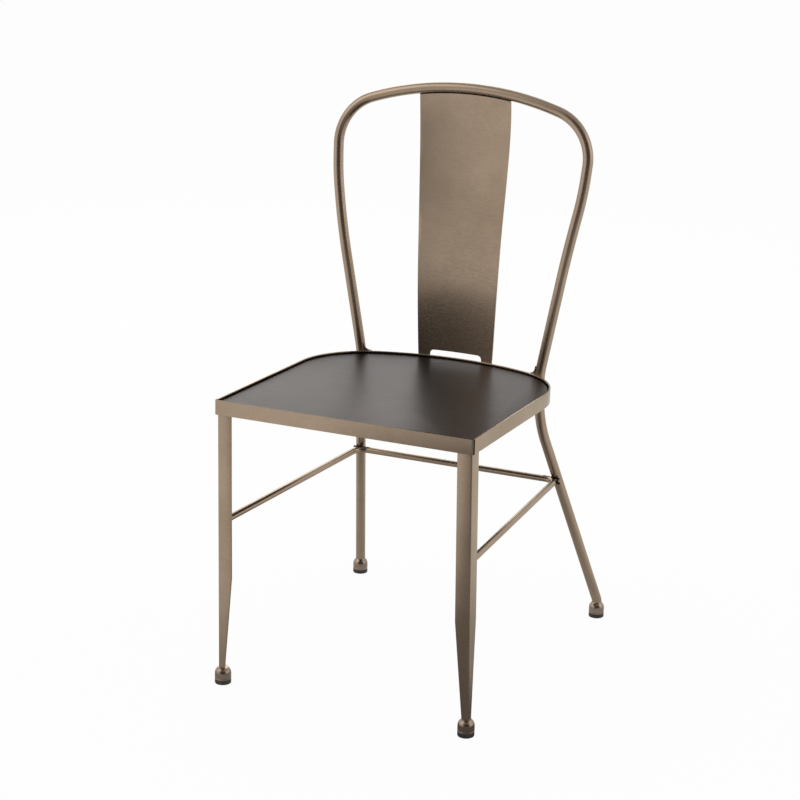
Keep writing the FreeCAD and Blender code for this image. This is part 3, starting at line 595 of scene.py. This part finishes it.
# %% [markdown]
# ## Seat band
# The seat stands in a band of flat bar, 22 mm high and 2.5 mm thick. It is made of two pieces:
# a straight one across the front, and one bent round the sides and the rear. Their joint near
# each front corner shows as a fine dark seam, so the two stay separate pieces here as well.

# %% Make the front bar
BAND_WALL = 2.5
BAND_SEAM = 1.5  # left open between the two pieces
FRONT_CORNER = 3.5


def trim_outline(bm, edges, y, forward):
    """Cuts a drawn outline across; forward keeps the part in front of the cut."""
    verts = list({v for e in edges for v in e.verts})
    bmesh.ops.bisect_plane(bm, geom=verts + edges, plane_co=(0, y, 0), plane_no=(0, 1, 0),
                           clear_outer=forward, clear_inner=not forward)


def grow_solid(bm, travel):
    """Extrudes the faces drawn so far along a travel into a closed solid."""
    grown = bmesh.ops.extrude_face_region(bm, geom=bm.faces[:])["geom"]
    moved = [g for g in grown if isinstance(g, bmesh.types.BMVert)]
    bmesh.ops.translate(bm, vec=travel, verts=moved)
    bmesh.ops.recalc_face_normals(bm, faces=bm.faces)


front_bar = bmesh.new()
trim_outline(front_bar, draw_outline(front_bar, 0, FRONT_CORNER), BAND_WALL, forward=True)
bmesh.ops.contextual_create(front_bar, geom=front_bar.verts[:] + front_bar.edges[:])
grow_solid(front_bar, (0, 0, -BAND_HEIGHT))
# Shade is painted on the bar's inner side, its top and its two ends.
paint_shade(front_bar, [f for f in front_bar.faces
                    if looks_towards(f, (0, 1, 0), (0, 0, 1), (1, 0, 0), (-1, 0, 0))])
soften_edges(front_bar, BAR_EDGE, steps=3)
set_on_seat(front_bar)
make_piece("seat_band_front", front_bar, frame_lacquer, "frame_lacquer", "seat_front_rail")

# %% [markdown]
# The bent band is drawn as two outlines, and the ring between them is grown downwards. Its inner
# side lies in the gap beside the plate, and shade is painted on it, apart from a narrow lip at
# the top.

# %% Make the bent band round sides and rear
BAND_LIP = 1.9

band = bmesh.new()
trim_outline(band, draw_outline(band, 0, FRONT_CORNER), BAND_WALL + BAND_SEAM, forward=False)
inner_line = draw_outline(band, BAND_WALL, FRONT_CORNER - BAND_WALL)
trim_outline(band, inner_line, BAND_WALL + BAND_SEAM, forward=False)
bmesh.ops.bridge_loops(band, edges=band.edges[:])
grow_solid(band, (0, 0, -BAND_HEIGHT))
seat_middle = Vector((0, SEAT_DEPTH / 2, 0))
bmesh.ops.bisect_plane(band, geom=all_of(band), plane_co=(0, 0, -BAND_LIP),
                       plane_no=(0, 0, 1))
# Shade is painted on the band's inner side below the lip and on its two ends at the seams.
paint_shade(band, [f for f in band.faces if not looks_towards(f, (0, 0, 1), (0, 0, -1))
               and f.calc_center_median().z < -BAND_LIP
               and f.normal.dot(f.calc_center_median() - seat_middle) < 0])
paint_shade(band, [f for f in band.faces if looks_towards(f, (0, -1, 0))
               and f.calc_center_median().y < seat_middle.y])
soften_edges(band, BAR_EDGE, steps=3)
set_on_seat(band)
make_piece("seat_band_round", band, frame_lacquer, "frame_lacquer", "seat_side_rail")

# %% [markdown]
# ## Seat plate
# The plate is one pressed sheet. Its edge is folded down inside the band, and the fold's radius
# leaves a dark groove between plate and band. Near the front legs the folded edge is cut away,
# because the legs stand there. The sheet is drawn as a skin first and gets its thickness last.

# %% Cut the seat plate's blank
PLATE_SINK = 3.5
PLATE_GAP = 0.3
PLATE_INSET = BAND_WALL + PLATE_GAP
PLATE_CORNER = 3.0
PLATE_FLANGE = 14.0
RELIEF = 27.0
LEVEL_SLACK = 0.1


def top_rim(bm):
    """The plate's edges that lie at its top level."""
    return [e for e in bm.edges
            if all(v.co.z > -PLATE_SINK - LEVEL_SLACK for v in e.verts)]


plate = bmesh.new()
rim = draw_outline(plate, PLATE_INSET, PLATE_CORNER, -PLATE_SINK)
rim_verts = list({v for e in rim for v in e.verts})
push(plate, rim_verts + rim, (0, 0, -PLATE_FLANGE))
relief_x = SEAT_HALF - PLATE_INSET - RELIEF
relief_y = PLATE_INSET + RELIEF
for along, cut_at in (((1, 0, 0), relief_x), ((1, 0, 0), -relief_x), ((0, 1, 0), relief_y)):
    bmesh.ops.bisect_plane(plate, geom=all_of(plate), plane_co=Vector(along) * cut_at,
                           plane_no=along)
relieved = [f for f in plate.faces
            if f.calc_center_median().y < relief_y and abs(f.calc_center_median().x) > relief_x]
bmesh.ops.delete(plate, geom=relieved, context="FACES_ONLY")
kept = set(top_rim(plate))
loose = [e for e in plate.edges if not e.link_faces and e not in kept]
bmesh.ops.delete(plate, geom=loose, context="EDGES")
bmesh.ops.edgeloop_fill(plate, edges=top_rim(plate))
print("plate blank:", len(plate.faces), "faces")

# %% [markdown]
# The blank now has its top and its flange, which meet in a knife edge. A bevel turns that edge
# into the rolled fold, and the sheet's thickness grows inwards from the finished skin.

# %% Fold the plate and give it its thickness
FOLD_ANGLE = math.radians(60)
PLATE_FOLD = 2.6
PLATE_WALL = 1.5

bmesh.ops.recalc_face_normals(plate, faces=plate.faces)
top_face = max(plate.faces, key=lambda f: f.calc_area())
if top_face.normal.z < 0:
    bmesh.ops.reverse_faces(plate, faces=plate.faces)
fold = [e for e in top_rim(plate) if e.is_manifold and e.calc_face_angle() > FOLD_ANGLE]
bmesh.ops.bevel(plate, geom=fold, offset=PLATE_FOLD, offset_type="OFFSET", affect="EDGES",
                segments=4, profile=0.5, material=-1)
bmesh.ops.solidify(plate, geom=plate.faces[:], thickness=PLATE_WALL)
set_on_seat(plate)
make_piece("seat_plate", plate, seat_lacquer, "seat_lacquer", "seat_pan")

# %% [markdown]
# ## Back splat
# The splat is a 2 mm sheet, 124 mm wide at the seat and 151 mm at the crown. Seen from above it
# is bowed to the rear, strongly at its foot, where it lies on the seat band, and hardly at all in
# the middle. Each row below is one level of the sheet: its height, half its width, the place of
# its middle and the depth of its bow. Smooth curves give the rows between. A vertex is spun into
# each row and the rows are bridged.

# %% Draw the rows of the splat and bridge them
SPLAT_ROWS = [  # height, half width, middle, bow
    (424.0, 62.0, 142.9, 5.5), (460.0, 64.0, 142.8, 5.5), (550.0, 67.1, 140.5, 3.2),
    (640.0, 69.7, 142.8, 1.7), (730.0, 72.9, 150.5, 3.0), (780.0, 74.6, 153.8, 3.7),
    (825.0, 75.6, 153.4, 3.3), (866.0, 75.6, 147.6, 0.8),
]
ROWS_BETWEEN = 3
SPLAT_WALL = 2.0
ROW_STEPS = 24


def fill_rows(rows, between):
    """Adds rows on cubics; the slope at a row is the one between its two neighbours."""
    rows = [Vector(row) for row in rows]
    slopes = [(after - before) / (after[0] - before[0])
              for before, after in zip(rows[:1] + rows[:-1], rows[1:] + rows[-1:])]
    filled = []
    for low, high, low_slope, high_slope in zip(rows, rows[1:], slopes, slopes[1:]):
        rise = high[0] - low[0]
        for step in range(between + 1):
            t = step / (between + 1)
            filled.append(low * (1 + 2 * t) * (1 - t)**2 + high * t**2 * (3 - 2 * t)
                          + (low_slope * t * (1 - t)**2 - high_slope * t**2 * (1 - t)) * rise)
    return filled + rows[-1:]


splat = bmesh.new()
splat_rows = []
for height, half, middle, bow in fill_rows(SPLAT_ROWS, ROWS_BETWEEN):
    radius = (half**2 + bow**2) / (2 * bow)
    before = set(splat.edges)
    end = splat.verts.new((half, middle - bow, height))
    draw_arc(splat, end, Vector((0, middle - radius, height)), 2 * math.asin(half / radius),
             ROW_STEPS)
    splat_rows.append([e for e in splat.edges if e not in before])
for lower, upper in zip(splat_rows, splat_rows[1:]):
    bmesh.ops.bridge_loops(splat, edges=lower + upper)
print("splat rows:", len(splat_rows), "faces:", len(splat.faces))

# %% [markdown]
# The splat's foot is slotted, so that it stands on two narrow tongues. The slot is cut with
# planes: two for its sides, and a few short ones that round its upper corners.

# %% Cut the slot at the splat's foot
SLOT_HALF = 44.0
SLOT_TOP = 451.4
SLOT_CORNER = 6.0
CHORD_ANGLES = [math.radians(degrees) for degrees in (15, 45, 75)]


def cut_faces(bm, faces, point, normal):
    """Cuts only these faces with a plane."""
    geometry = list({g for f in faces for g in (*f.verts, *f.edges)}) + list(faces)
    bmesh.ops.bisect_plane(bm, geom=geometry, plane_co=point, plane_no=normal)


def slot_faces(bm):
    """Faces within the slot's full width and height."""
    return [f for f in bm.faces if f.calc_center_median().z < SLOT_TOP
            and abs(f.calc_center_median().x) < SLOT_HALF]


cut_faces(splat, splat.faces[:], (0, 0, SLOT_TOP), (0, 0, 1))
for side in (1, -1):
    below = [f for f in splat.faces if f.calc_center_median().z < SLOT_TOP]
    cut_faces(splat, below, (side * SLOT_HALF, 0, 0), (1, 0, 0))
slot_corner_x, slot_corner_z = SLOT_HALF - SLOT_CORNER, SLOT_TOP - SLOT_CORNER
chord_reach = SLOT_CORNER * math.cos(CHORD_ANGLES[0])
for side in (1, -1):
    for angle in CHORD_ANGLES:
        normal = Vector((side * math.cos(angle), 0, math.sin(angle)))
        point = Vector((side * slot_corner_x, 0, slot_corner_z)) + normal * chord_reach
        cut_faces(splat, slot_faces(splat), point, normal)


def in_slot(face):
    """True inside the slot's rounded outline."""
    middle = face.calc_center_median()
    across, up = abs(middle.x) - slot_corner_x, middle.z - slot_corner_z
    return across < 0 or up < 0 or all(
        across * math.cos(angle) + up * math.sin(angle) < chord_reach for angle in CHORD_ANGLES)


bmesh.ops.delete(splat, geom=[f for f in slot_faces(splat) if in_slot(f)], context="FACES")
bmesh.ops.recalc_face_normals(splat, faces=splat.faces)
if sum(f.normal.y for f in splat.faces) > 0:
    bmesh.ops.reverse_faces(splat, faces=splat.faces)
bmesh.ops.solidify(splat, geom=splat.faces[:], thickness=SPLAT_WALL)
soften_edges(splat, SHEET_EDGE)
make_piece("splat", splat, frame_lacquer, "frame_lacquer", "back_splat")

# %% [markdown]
# ## Front legs
# Each front leg is a strip of 2.5 mm sheet folded to an angle, with the fold to the outside.
# Both flanges narrow towards the foot, which makes the leg look slim. The strip is drawn in plan
# as a line with a rounded fold, raised in three steps, narrowed, and given its thickness.

# %% Fold the front legs
LEG_FLANGE = 23.0
LEG_TOE_FLANGE = 10.5
LEG_WALL = 2.5
LEG_FOLD = 3.0
LEG_TOE, LEG_TAPER = 22.0, 175.0
LEG_GAP, LEG_HEAD_GAP = 0.5, 1.1
LEG_SPLAY, LEG_SETBACK = 4.4, 7.6
LEG_TOP = Vector((SEAT_HALF - BAND_WALL - LEG_GAP, FRONT_Y + BAND_WALL + LEG_GAP,
                  SEAT_HEIGHT - PLATE_SINK - PLATE_WALL - LEG_HEAD_GAP))
LEG_STAND = Vector((LEG_TOP.x + LEG_SPLAY, LEG_TOP.y + LEG_SETBACK, 0))


def raise_line(bm, edges, height):
    """Extrudes a drawn line straight up and returns the new edges."""
    grown = bmesh.ops.extrude_edge_only(bm, edges=edges)["geom"]
    bmesh.ops.translate(bm, vec=(0, 0, height),
                        verts=[g for g in grown if isinstance(g, bmesh.types.BMVert)])
    return [g for g in grown if isinstance(g, bmesh.types.BMEdge)]


def fold_leg():
    """The right leg in its own upright frame, with its outer corner on the Z axis."""
    bm = bmesh.new()
    end = bm.verts.new((-LEG_FLANGE, 0, LEG_END))
    end = draw_line(bm, end, -LEG_FOLD, 0)
    end = draw_arc(bm, end, (-LEG_FOLD, LEG_FOLD, LEG_END), math.pi / 2, 6)
    draw_line(bm, end, 0, LEG_FLANGE)
    line = bm.edges[:]
    for low, high in ((LEG_END, LEG_TOE), (LEG_TOE, LEG_TAPER), (LEG_TAPER, LEG_TOP.z)):
        line = raise_line(bm, line, high - low)
    for vert in bm.verts:
        if vert.co.z < LEG_TOE + LEVEL_SLACK:
            vert.co.x = max(vert.co.x, -LEG_TOE_FLANGE)
            vert.co.y = min(vert.co.y, LEG_TOE_FLANGE)
    bmesh.ops.recalc_face_normals(bm, faces=bm.faces)
    if sum(f.normal.y * f.calc_area() for f in bm.faces) > 0:
        bmesh.ops.reverse_faces(bm, faces=bm.faces)
    bmesh.ops.solidify(bm, geom=bm.faces[:], thickness=LEG_WALL)
    return bm


for side, word in ((1, "right"), (-1, "left")):
    leg = fold_leg()
    soften_edges(leg, BAR_EDGE, steps=3)
    splay = Vector((0, 0, 1)).rotation_difference(LEG_TOP - LEG_STAND).to_matrix().to_4x4()
    bmesh.ops.transform(leg, matrix=Matrix.Translation(LEG_STAND) @ splay, verts=leg.verts)
    if side < 0:
        bmesh.ops.scale(leg, vec=(-1, 1, 1), verts=leg.verts)
        bmesh.ops.recalc_face_normals(leg, faces=leg.faces)
    make_piece(f"folded_leg_{word}", leg, frame_lacquer, "frame_lacquer", f"front_leg_{word}")

# %% [markdown]
# ## Welds
# The chair is held by welds. At the hoop a smooth run of weld metal fills the corner between the
# tube and the band; the stretcher is held by short beads; and under the crown a thin weld line
# shows where the splat enters the tube. The beads at the rear legs and the line under the crown
# are painted in shade. The fillets are drawn as a flat outline with a hollow arc, thickened and
# rounded. A bead is a row of small flattened balls, like the ripples of the torch.

# %% Weld fillets between hoop and band
FILLET_RUN, FILLET_HOLLOW = 16.5, 13.0
FILLET_START, FILLET_SINK, FILLET_THICK = 2.0, 3.0, 5.0
FILLET_BACK = 7.6  # from the tube's axis to the fillet's inner face
FILLET_EDGE = 1.6
TUBE_LEAN_OUT = 0.3  # how far the hoop has moved out where it passes the band's top

band_top = SEAT_HEIGHT - (TUBE_Y - FRONT_Y) * math.tan(SEAT_RAKE)
HOOP_AXIS = Vector((TUBE_X + TUBE_LEAN_OUT, TUBE_Y, band_top))


def draw_point(bm, vert, x, z):
    """Pulls the vertex to a point in the upright plane and returns the new end."""
    grown = bmesh.ops.extrude_vert_indiv(bm, verts=[vert])["verts"][0]
    grown.co = (x, 0, z)
    return grown


fillets = bmesh.new()
start = fillets.verts.new((-FILLET_START, 0, -FILLET_SINK))
end = draw_point(fillets, start, -FILLET_RUN, -FILLET_SINK)
end = draw_point(fillets, end, -FILLET_RUN, 0)
hollow = bmesh.ops.spin(fillets, geom=[end], cent=(-FILLET_RUN, 0, FILLET_HOLLOW),
                        axis=(0, -1, 0), angle=math.pi / 2, steps=8)
end = next(g for g in hollow["geom_last"] if isinstance(g, bmesh.types.BMVert))
end = draw_point(fillets, end, -FILLET_START, FILLET_HOLLOW)
fillets.edges.new((end, start))
bmesh.ops.contextual_create(fillets, geom=fillets.verts[:] + fillets.edges[:])
grow_solid(fillets, (0, FILLET_THICK, 0))
soften_edges(fillets, FILLET_EDGE, steps=4)
fillet_turn = Matrix.Rotation(TUBE_BEARING - math.pi / 2, 4, "Z")
bmesh.ops.translate(fillets, vec=(0, -FILLET_BACK, 0), verts=fillets.verts)
bmesh.ops.transform(fillets, matrix=Matrix.Translation(HOOP_AXIS) @ fillet_turn,
                    verts=fillets.verts)
mirror_across(fillets, all_of(fillets))
bmesh.ops.recalc_face_normals(fillets, faces=fillets.faces)
make_piece("weld_fillets", fillets, frame_lacquer, "frame_lacquer")

# %% [markdown]
# The rod has a bead above and one below where it passes the rear leg, and a round spot of weld
# where it meets the front leg; the beads at the rear leg are painted in shade. The splat's top
# edge is welded along the tube's underside, which shows as one thin line that follows the crown's
# arc; the whole line is painted in shade.

# %% Weld beads of the stretcher
REAR_BEAD = (2.4, 2.2, 1.6)
LOWER_BEAD = (2.4, 2.0, 2.0)
FRONT_SPOT = (7.2, 2.6, 7.2)
BEAD_RISE = 4.0  # above and below the rod's axis
BEADS = [  # a place, the first and last ball from there, height over the rod, count, size
    (ROD_REAR, (5.1, -2.3), (-19.9, 0.2), BEAD_RISE, 9, REAR_BEAD),
    (ROD_REAR, (6.1, -1.3), (-9.9, 5.2), -BEAD_RISE, 6, LOWER_BEAD),
    (ROD_FRONT, (0, 0), (0, 0), 0, 1, FRONT_SPOT),
]


def lay_bead(bm, first, last, count, size):
    """A row of flattened balls from one point to another; size is along, across and up."""
    run = last - first
    along = Matrix.Rotation(math.atan2(run.y, run.x), 4, "Z")
    for step in range(count):
        spot = first + run * (step / max(1, count - 1))
        bmesh.ops.create_uvsphere(bm, u_segments=16, v_segments=10, radius=1.0,
                                  matrix=Matrix.Translation(spot) @ along
                                  @ Matrix.Diagonal((*size, 1)))


beads = bmesh.new()
for place, first, last, rise, count, size in BEADS:
    lay_bead(beads, place + Vector((*first, rise)), place + Vector((*last, rise)), count, size)
mirror_across(beads, all_of(beads))
bmesh.ops.recalc_face_normals(beads, faces=beads.faces)
# Shade is painted on the beads at the rear legs.
paint_shade(beads, [f for f in beads.faces if f.calc_center_median().y > 0])
make_piece("stretcher_welds", beads, frame_lacquer, "frame_lacquer")

# %% Weld line under the crown, painted in shade
LINE_WIDTH = 1.5
LINE_HALF = 75.0
LINE_DROP = 8.4  # from the tube's axis down to the line
LINE_FORWARD = 2.1

line_radius = CROWN_RADIUS - LINE_DROP
line_middle = hoop_point(0, 0) - Vector((0, LINE_FORWARD, LINE_DROP))
line_corner = line_middle + Vector((LINE_HALF / 2, 0, 0))
line_end = line_middle + Vector((LINE_HALF, 0, -LINE_HALF**2 / (2 * line_radius)))
crown_line = bmesh.new()
bend_bar(crown_line, [(line_end, 0), (line_corner, line_radius), (line_middle, 0)], LINE_WIDTH,
         sides=12)
mirror_half(crown_line)
# The whole weld line is painted in shade.
paint_shade(crown_line, crown_line.faces)
make_piece("splat_weld_painted_shade", crown_line, frame_lacquer, "frame_lacquer")

# %% [markdown]
# ## Feet
# Every leg ends in a turned cup with a black plastic glide under it. Both are round, so one
# profile is spun through a full turn. The cup has a straight wall, a domed shoulder and a tight
# neck that closes round the leg. The four feet are the same, and only their places differ.

# %% Turn the cup and the glide
# Each profile is a list of (radius, height) in millimetres.
CUP_PROFILE = [(0.0, 7.0), (12.3, 7.0), (12.5, 7.4), (12.5, 8.6), (12.2, 8.9), (12.5, 9.2),
               (12.5, 15.4), (12.4, 17.2), (12.1, 19.0), (11.5, 20.7), (10.6, 22.2),
               (9.5, 23.4), (8.7, 24.3), (8.3, 25.2), (7.9, 25.9), (7.2, 26.0), (0.0, 25.8)]
GLIDE_PROFILE = [(0.0, 7.0), (12.1, 7.0), (12.45, 6.6), (12.45, 1.2), (12.1, 0.35),
                 (11.3, 0.0), (0.0, 0.0)]
LATHE_STEPS = 48


def turn_profile(profile):
    """Spins a profile of (radius, height) that starts and ends on the Z axis."""
    bm = bmesh.new()
    end = bm.verts.new((profile[0][0], 0, profile[0][1]))
    for radius, height in profile[1:]:
        end = draw_point(bm, end, radius, height)
    bmesh.ops.spin(bm, geom=bm.verts[:] + bm.edges[:], cent=(0, 0, 0), axis=(0, 0, 1),
                   angle=math.tau, steps=LATHE_STEPS, use_merge=True)
    bmesh.ops.remove_doubles(bm, verts=bm.verts, dist=MERGE_GAP)
    bmesh.ops.recalc_face_normals(bm, faces=bm.faces)
    return bm


for foot, spot in FOOT_PLACES.items():
    for profile, finish, piece, slot in (
        (CUP_PROFILE, cup_lacquer, "cup", "foot_cup"),
        (GLIDE_PROFILE, glide_plastic, "glide", "foot_glide"),
    ):
        turned = turn_profile(profile)
        bmesh.ops.translate(turned, vec=(spot.x, spot.y, 0), verts=turned.verts)
        make_piece(f"{piece}_{foot}", turned, finish, slot, f"foot_{piece}_{foot}")
    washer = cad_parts[f"foot_washer_{foot}"]
    washer.data.materials.clear()
    washer.data.materials.append(bare_steel)

# %% [markdown]
# ## Camera
# The camera stands a little above the seat, in front of the chair and to its left side as the
# sitter sees it. Its place and turn were found by fitting the frame to the picture, and the lens
# is long, so that the legs stay nearly parallel.

# %% Place the camera
AZIMUTH, ELEVATION, ROLL = (math.radians(angle) for angle in (24.3155, 16.2548, 1.2856))
CAMERA_PLACE = (1.1913, -2.70608, 1.2704)
FOCAL_LENGTH, SENSOR_WIDTH = 90.37, 36

backward = Vector((math.sin(AZIMUTH) * math.cos(ELEVATION),
                   -math.cos(AZIMUTH) * math.cos(ELEVATION), math.sin(ELEVATION)))
level_right = Vector((math.cos(AZIMUTH), math.sin(AZIMUTH), 0))
level_up = backward.cross(level_right)
rolled_right = level_right * math.cos(ROLL) + level_up * math.sin(ROLL)
rolled_up = level_up * math.cos(ROLL) - level_right * math.sin(ROLL)

lens = bpy.data.cameras.new("camera")
lens.lens = FOCAL_LENGTH
lens.sensor_width = SENSOR_WIDTH
camera = bpy.data.objects.new("camera", lens)
camera_turn = Matrix((rolled_right, rolled_up, backward)).transposed().to_4x4()
camera.matrix_world = Matrix.Translation(CAMERA_PLACE) @ camera_turn
bpy.context.scene.collection.objects.link(camera)
bpy.context.scene.camera = camera
print("camera at", [round(c, 2) for c in camera.matrix_world.translation])

# %% [markdown]
# ## Studio
# The chair stands on a pale floor before a white background, and the floor keeps a soft shadow.
# A metallic lacquer is as light or dark as the room that it mirrors, so this room has a plan: a
# dark side behind the camera, a ceiling that is dimmer than the walls, and a shadow painted on
# the floor under the seat. Only mirrored rays see this. Through Light Path the camera sees plain
# white, and the rays that light the chair see an even room that is a little dimmer.

# %% Plan the room that the lacquer mirrors
# A pair gives the strength before and after the range that it goes with.
DARK_SIDE = Vector((0.42, -0.87, 0.25)).normalized()
DARK_SPREAD = (0.58, 0.87)
DARK_WALL = (1.0, 0.04)
DARK_FLOOR = (0.98, 0.25)
CEILING_RISE = (0.45, 0.9)
CEILING_SHADE = (1.0, 0.55)
# Where the shadow painted on the floor under the seat lies, how far it reaches, and how dark it
# is.
UNDER_SEAT = (0.03, -0.12, 0.0)
UNDER_REACH = (0.15, 0.85)
UNDER_SHADE = (0.4, 1.0)


def combine(tree, operation, first, second):
    """Two values made one by a math node."""
    node = put_node(tree, "ShaderNodeMath", operation=operation)
    for socket, value in zip(node.inputs, (first, second)):
        if isinstance(value, bpy.types.NodeSocket):
            tree.links.new(value, socket)
        else:
            socket.default_value = value
    return node.outputs[0]


def measure_to(tree, source, operation, vector):
    """What a vector node makes of a direction or place and a fixed vector."""
    node = put_node(tree, "ShaderNodeVectorMath", operation=operation)
    node.inputs[1].default_value = vector
    tree.links.new(source, node.inputs[0])
    return node.outputs["Value"]


def dark_side(tree, direction, strengths):
    """How bright the room is in a direction, which has length 1."""
    towards = measure_to(tree, direction, "DOT_PRODUCT", DARK_SIDE)
    return map_range(tree, towards, *DARK_SPREAD, *strengths)


print("the dark side lies at", [round(c, 2) for c in DARK_SIDE])

# %% Tell the rays apart
def mix_shaders(tree, factor, first, second):
    """The first shader where the factor is 0, and the second where it is 1."""
    mix = put_node(tree, "ShaderNodeMixShader")
    for socket, source in zip(mix.inputs, (factor, first, second)):
        tree.links.new(source, socket)
    return mix.outputs[0]


def white_to_the_eye(tree):
    """1 for rays that carry the background to the eye: camera, glossy and transmission."""
    ray = put_node(tree, "ShaderNodeLightPath").outputs
    mirrored = combine(tree, "MAXIMUM", ray["Is Camera Ray"], ray["Is Glossy Ray"])
    return combine(tree, "MAXIMUM", mirrored, ray["Is Transmission Ray"])


def camera_or_mirror(tree, seen, mirrored):
    """One shader for the camera's own rays and another for mirrored ones."""
    ray = put_node(tree, "ShaderNodeLightPath").outputs
    return mix_shaders(tree, ray["Is Camera Ray"], mirrored, seen)


# %% Paint the floor
FLOOR_TONE = (0.86, 0.86, 0.86, 1)
FLOOR_GLOW = 0.95
FLOOR_REACH = 20.0  # from its middle to its edge, in metres

floor_paint = bpy.data.materials.new("pale floor")
floor_paint.use_nodes = True
floor_tree = floor_paint.node_tree
matt = set_inputs(floor_tree.nodes["Principled BSDF"], Base_Color=FLOOR_TONE, Roughness=0.9)
floor_place = put_node(floor_tree, "ShaderNodeTexCoord").outputs["Object"]
bearing = put_node(floor_tree, "ShaderNodeVectorMath", operation="NORMALIZE")
floor_tree.links.new(floor_place, bearing.inputs[0])
# A shadow painted on the floor under the seat, seen only by mirrored rays.
painted_seat_shadow = map_range(floor_tree, measure_to(floor_tree, floor_place, "DISTANCE", UNDER_SEAT),
                    *UNDER_REACH, *UNDER_SHADE)
mirrored = put_node(floor_tree, "ShaderNodeEmission")
floor_tree.links.new(
    combine(floor_tree, "MULTIPLY",
            dark_side(floor_tree, bearing.outputs["Vector"], DARK_FLOOR), painted_seat_shadow),
    mirrored.inputs["Strength"])
seen = put_node(floor_tree, "ShaderNodeEmission")
glow = combine(floor_tree, "MULTIPLY", white_to_the_eye(floor_tree), FLOOR_GLOW)
floor_look = mix_shaders(
    floor_tree, glow, matt.outputs[0],
    camera_or_mirror(floor_tree, seen.outputs[0], mirrored.outputs[0]))
floor_tree.links.new(floor_look, floor_tree.nodes["Material Output"].inputs["Surface"])

floor = bmesh.new()
bmesh.ops.create_grid(floor, x_segments=1, y_segments=1, size=FLOOR_REACH)
floor_mesh = bpy.data.meshes.new("floor")
floor.to_mesh(floor_mesh)
floor.free()
floor_mesh.materials.append(floor_paint)
floor_piece = bpy.data.objects.new("floor", floor_mesh)
bpy.context.scene.collection.objects.link(floor_piece)
print("floor:", 2 * FLOOR_REACH, "m wide")

# %% Paint the room
PURE_WHITE = (1, 1, 1, 1)
ROOM_LIGHT = 0.75

world = bpy.data.worlds.new("white room")
bpy.context.scene.world = world
world.use_nodes = True
room = world.node_tree
surround = set_inputs(room.nodes["Background"], Color=PURE_WHITE, Strength=ROOM_LIGHT)
ray_direction = put_node(room, "ShaderNodeTexCoord").outputs["Generated"]
ray_parts = put_node(room, "ShaderNodeSeparateXYZ")
room.links.new(ray_direction, ray_parts.inputs[0])
ceiling = map_range(room, ray_parts.outputs["Z"], *CEILING_RISE, *CEILING_SHADE)
wall = set_inputs(put_node(room, "ShaderNodeBackground"), Color=PURE_WHITE)
room.links.new(combine(room, "MULTIPLY", dark_side(room, ray_direction, DARK_WALL), ceiling),
               wall.inputs["Strength"])
white = set_inputs(put_node(room, "ShaderNodeBackground"), Color=PURE_WHITE)
room_look = mix_shaders(room, white_to_the_eye(room), surround.outputs[0],
                        camera_or_mirror(room, white.outputs[0], wall.outputs[0]))
room.links.new(room_look, room.nodes["World Output"].inputs["Surface"])
print("room light:", ROOM_LIGHT)

# %% [markdown]
# Three large soft lamps light the chair and draw bright lines along the round tube. The wide one
# above the left does most of the work, a weak one lifts the right side, and one behind the left
# rear leg keeps that leg from sinking into the shade.

# %% Lamps
LAMP_AIM = Vector((0, 0, 0.4))
LAMPS = [  # name, place, width in m, power in W
    ("wide lamp above left", (-2.2, -1.4, 2.8), 2.6, 20),
    ("lamp on the right", (2.8, 0.6, 1.8), 2.2, 6),
    ("lamp behind the left rear leg", (-1.6, 2.6, 2.2), 1.6, 16),
]
for name, place, width, power in LAMPS:
    light = bpy.data.lights.new(name, "AREA")
    light.size = width
    light.energy = power
    lamp = bpy.data.objects.new(name, light)
    lamp.location = place
    lamp.rotation_euler = (Vector(place) - LAMP_AIM).to_track_quat("Z", "Y").to_euler()
    bpy.context.scene.collection.objects.link(lamp)
bpy.context.scene.view_settings.view_transform = "Standard"
print("lamps:", [name for name, *_ in LAMPS])
